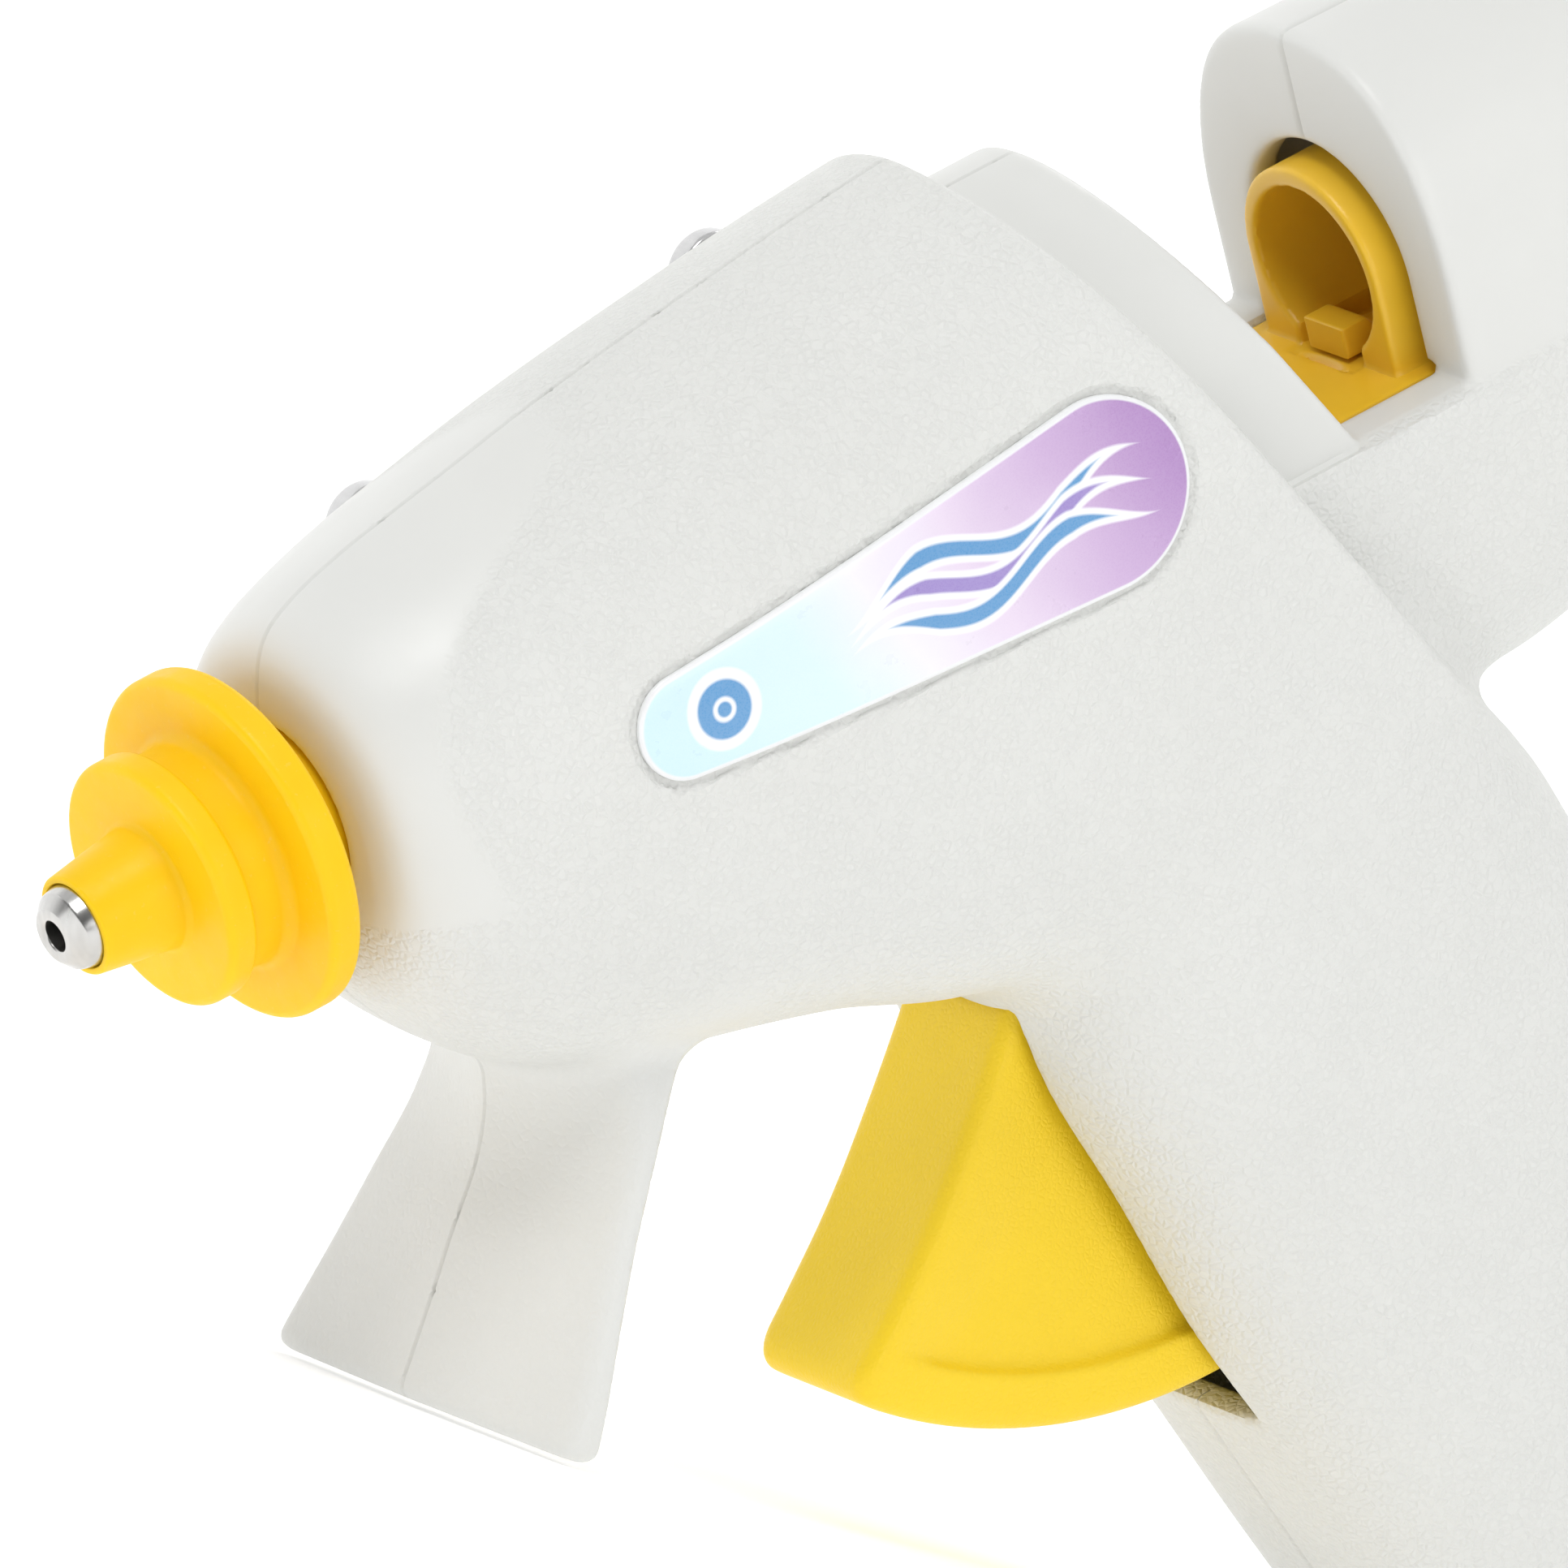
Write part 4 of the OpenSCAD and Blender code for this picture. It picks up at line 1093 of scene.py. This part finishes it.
ring_profile = filleted(
    [(5.9, 116), (8.2, 116), (8.2, 121.55), (9.2, 121.55), (9.2, 122.8), (6.7, 122.8), (5.9, 122)],
    [0.2, 0.2, 0.05, 0.15, 0.5, 0.5, 0.4], 5,
)
ring = lathe("stick_ring", ring_profile, dark_plastic)
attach(ring, "housing")
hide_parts("stick_inlet_ring")

bush_profile = filleted(
    [(3.1, -6), (5.9, -6), (5.9, -4), (5, -4), (5, 0.05), (6.3, 0.05), (6.3, 1.8), (3.1, 1.8)],
    [0.3, 0.2, 0.1, 0.1, 0.05, 0.1, 0.7, 0.6], 5,
)
bush = lathe(
    "cord_bush", bush_profile, dark_plastic, (END_MID[0], 0, END_MID[1]),
    (END_ALONG[1], 0, -END_ALONG[0]),
)
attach(bush, "housing")
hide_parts("cord_grommet")

points, faces, u, v = label_plate()
label = new_object("label_foil", points, faces, label_finish(), 40)
tidy_normals(label, 1e-7)
# Welding renumbers the vertices, so each one takes its numbers from the point it lies on.
spots, source = [vertex.co[:] for vertex in label.data.vertices], to_row(points)
match = [int(np.argmin(((source - spot) ** 2).sum(1))) for spot in spots]
u, v = u[match], v[match]
x, _, z = points[match].T
label_half_w = LABEL_R + np.clip(u / LABEL_LEN, 0, 1) * (LABEL_R2 - LABEL_R)
point_attribute(label, "print u", u)
point_attribute(label, "print v", v)
point_attribute(label, "along", (u + LABEL_R) / (LABEL_LEN + LABEL_R + LABEL_R2))
point_attribute(label, "across", v / label_half_w)
point_attribute(label, "edge", -label_outline(x, z))
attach(label, "housing")
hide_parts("label")

screw_parts = []
for x, z, seat in SCREWS:
    points, faces = screw_mesh(seat, SCREW_STEP)
    screw_parts.append((points + np.array([x, 0, z]), faces))
points, faces = joined(screw_parts)
screws = new_object("closing_screws", points, faces, screw_metal, 50)
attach(screws, "housing")
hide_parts("housing_screws")

points, faces = tube(spring_path(), 0.35, 12)
spring = new_object("pull_spring", points, faces, spring_steel, 60)
tidy_normals(spring)
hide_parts("return_spring")
spring_front, spring_back = to_row([(EAR_X + 2.2, 0, SPRING_Z), (POST_X - 2.4, 0, SPRING_Z)])
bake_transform(spring)

# The pieces inside keep their CAD meshes and get a finish.
FINISHES = {
    "melt_chamber": cast_metal, "heater_element": heater_ceramic, "heater_electrodes": brass,
    "heater_film": film_plastic, "chamber_collar": collar_fibre, "stick_sleeve": sleeve_silicone,
    "sleeve_clamp": spring_steel, "trigger_pin": steel, "link_pin": steel, "grip_pin": steel,
    "terminal_block": ivory_plastic, "heater_leads": lead_jacket,
}
for name, material in FINISHES.items():
    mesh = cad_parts[name].data
    mesh.materials.clear()
    mesh.materials.append(material)


# ---------- stage, lights and camera ----------
STAGE_FLAT, STAGE_SWEEP, STAGE_TOP = 6.6, 3.0, 8.4
FLOOR_DROP = 0.0004
BEHIND = (0.0661, 0.0805, 0.0)  # away from the camera; the longer, the sooner the stage pales into its bright painted glow


def greys(*stops):
    return [(at, (level, level, level)) for at, level in stops]


def stage():
    """Floor that sweeps up into a round backdrop, turned about the upright axis; it glows with
    painted light, dark and dim towards the camera and bright behind the gun.
    """
    outline = [(r, 0.0) for r in (0.05, 0.12, 0.3, 0.6, 1.0, 2.0, 4.0, STAGE_FLAT)]
    for a in np.radians(range(6, 91, 6)):
        outline.append((STAGE_FLAT + STAGE_SWEEP * math.sin(a), STAGE_SWEEP * (1 - math.cos(a))))
    outline += [(STAGE_FLAT + STAGE_SWEEP, h) for h in (4.8, STAGE_TOP)]
    count, n, points, faces = 96, len(outline), [], []
    for k in range(count):
        a = 2 * math.pi * k / count
        points += [(r * math.cos(a), r * math.sin(a), h - FLOOR_DROP) for r, h in outline]
    points.append((0, 0, -FLOOR_DROP))
    for k in range(count):
        m = (k + 1) % count
        faces.append((k * n, m * n, len(points) - 1))
        faces += [(k * n + i, k * n + i + 1, m * n + i + 1, m * n + i) for i in range(n - 1)]
    mesh = bpy.data.meshes.new("stage_sweep")
    mesh.from_pydata(points, [], faces)
    mesh.update()
    mesh.shade_smooth()
    f = Finish("stage_painted_glow", Roughness=0.9, Specular_IOR_Level=0.1, Emission_Strength=0.52)
    dot = f.node("ShaderNodeVectorMath", {0: f.coord, 1: BEHIND}, operation="DOT_PRODUCT")
    drift = f.spread(f.noise(0.4, 2), 0.3, 0.7, -0.02, 0.02)
    place = f.spread(f.maths("ADD", dot.outputs["Value"], drift), -1, 1, 0, 1)
    # Painted light: the stage's colour and glow are dark towards the camera and bright behind, so
    # it shades and lights the gun like a lamp.
    paper = greys((0.0, 0.16), (0.30, 0.30), (0.47, 0.82), (1.0, 0.85))
    painted_glow = greys((0.0, 0.06), (0.42, 0.3), (0.56, 1.0), (1.0, 1.0))
    f.to("Base Color", f.ramp(place, paper)).to("Emission Color", f.ramp(place, painted_glow))
    mesh.materials.append(f.material)
    link("stage_sweep", mesh)


def softbox(name, place, target, size, power):
    lamp = bpy.data.lights.new(name, "AREA")
    lamp.shape, lamp.size, lamp.energy = "DISK", size, power
    obj = link(name, lamp)
    obj.location = place
    obj.rotation_euler = (target - place).to_track_quat("-Z", "Y").to_euler()


stage()
# The camera's own axes and aim, fitted to the photo; SPAN is what the frame shows at the target.
VIEW_RIGHT, VIEW_UP = Vector((0.7430, -0.5936, 0.3095)), Vector((-0.2150, 0.2260, 0.9500))
VIEW_BACK = VIEW_RIGHT.cross(VIEW_UP).normalized()
TARGET, DISTANCE, SPAN = Vector((0.01255, 0, 0.04257)), 3.0, 0.0966
camera_data = bpy.data.cameras.new("view_camera")
camera_data.sensor_width = 36
camera_data.lens = 36 * DISTANCE / SPAN
camera_data.clip_start, camera_data.clip_end = 0.1, 40
camera = link("view_camera", camera_data)
axes = Matrix((VIEW_RIGHT, VIEW_UP, VIEW_BACK)).transposed().to_4x4()
camera.matrix_world = Matrix.Translation(TARGET + VIEW_BACK * DISTANCE) @ axes
bpy.context.scene.camera = camera


def seen(right, up, back):
    """A place given along the camera's own axes from the target, in metres."""
    return TARGET + VIEW_RIGHT * right + VIEW_UP * up + VIEW_BACK * back


softbox("key", seen(-0.05, 0.85, 0.75), TARGET, 0.5, 4.2)
softbox("fill", seen(0.75, 0.1, 0.8), TARGET, 0.6, 2.4)
softbox("left", seen(-0.8, 0.1, 0.7), TARGET, 0.3, 0.3)
softbox("rim", seen(0.35, 0.9, -0.6), TARGET, 0.5, 1.2)
world = bpy.data.worlds.new("studio")
world.use_nodes = True
sky = world.node_tree.nodes["Background"].inputs
sky["Color"].default_value = (1, 1, 1, 1)
sky["Strength"].default_value = 0.75
bpy.context.scene.world = world
bpy.context.scene.view_settings.view_transform = "Standard"
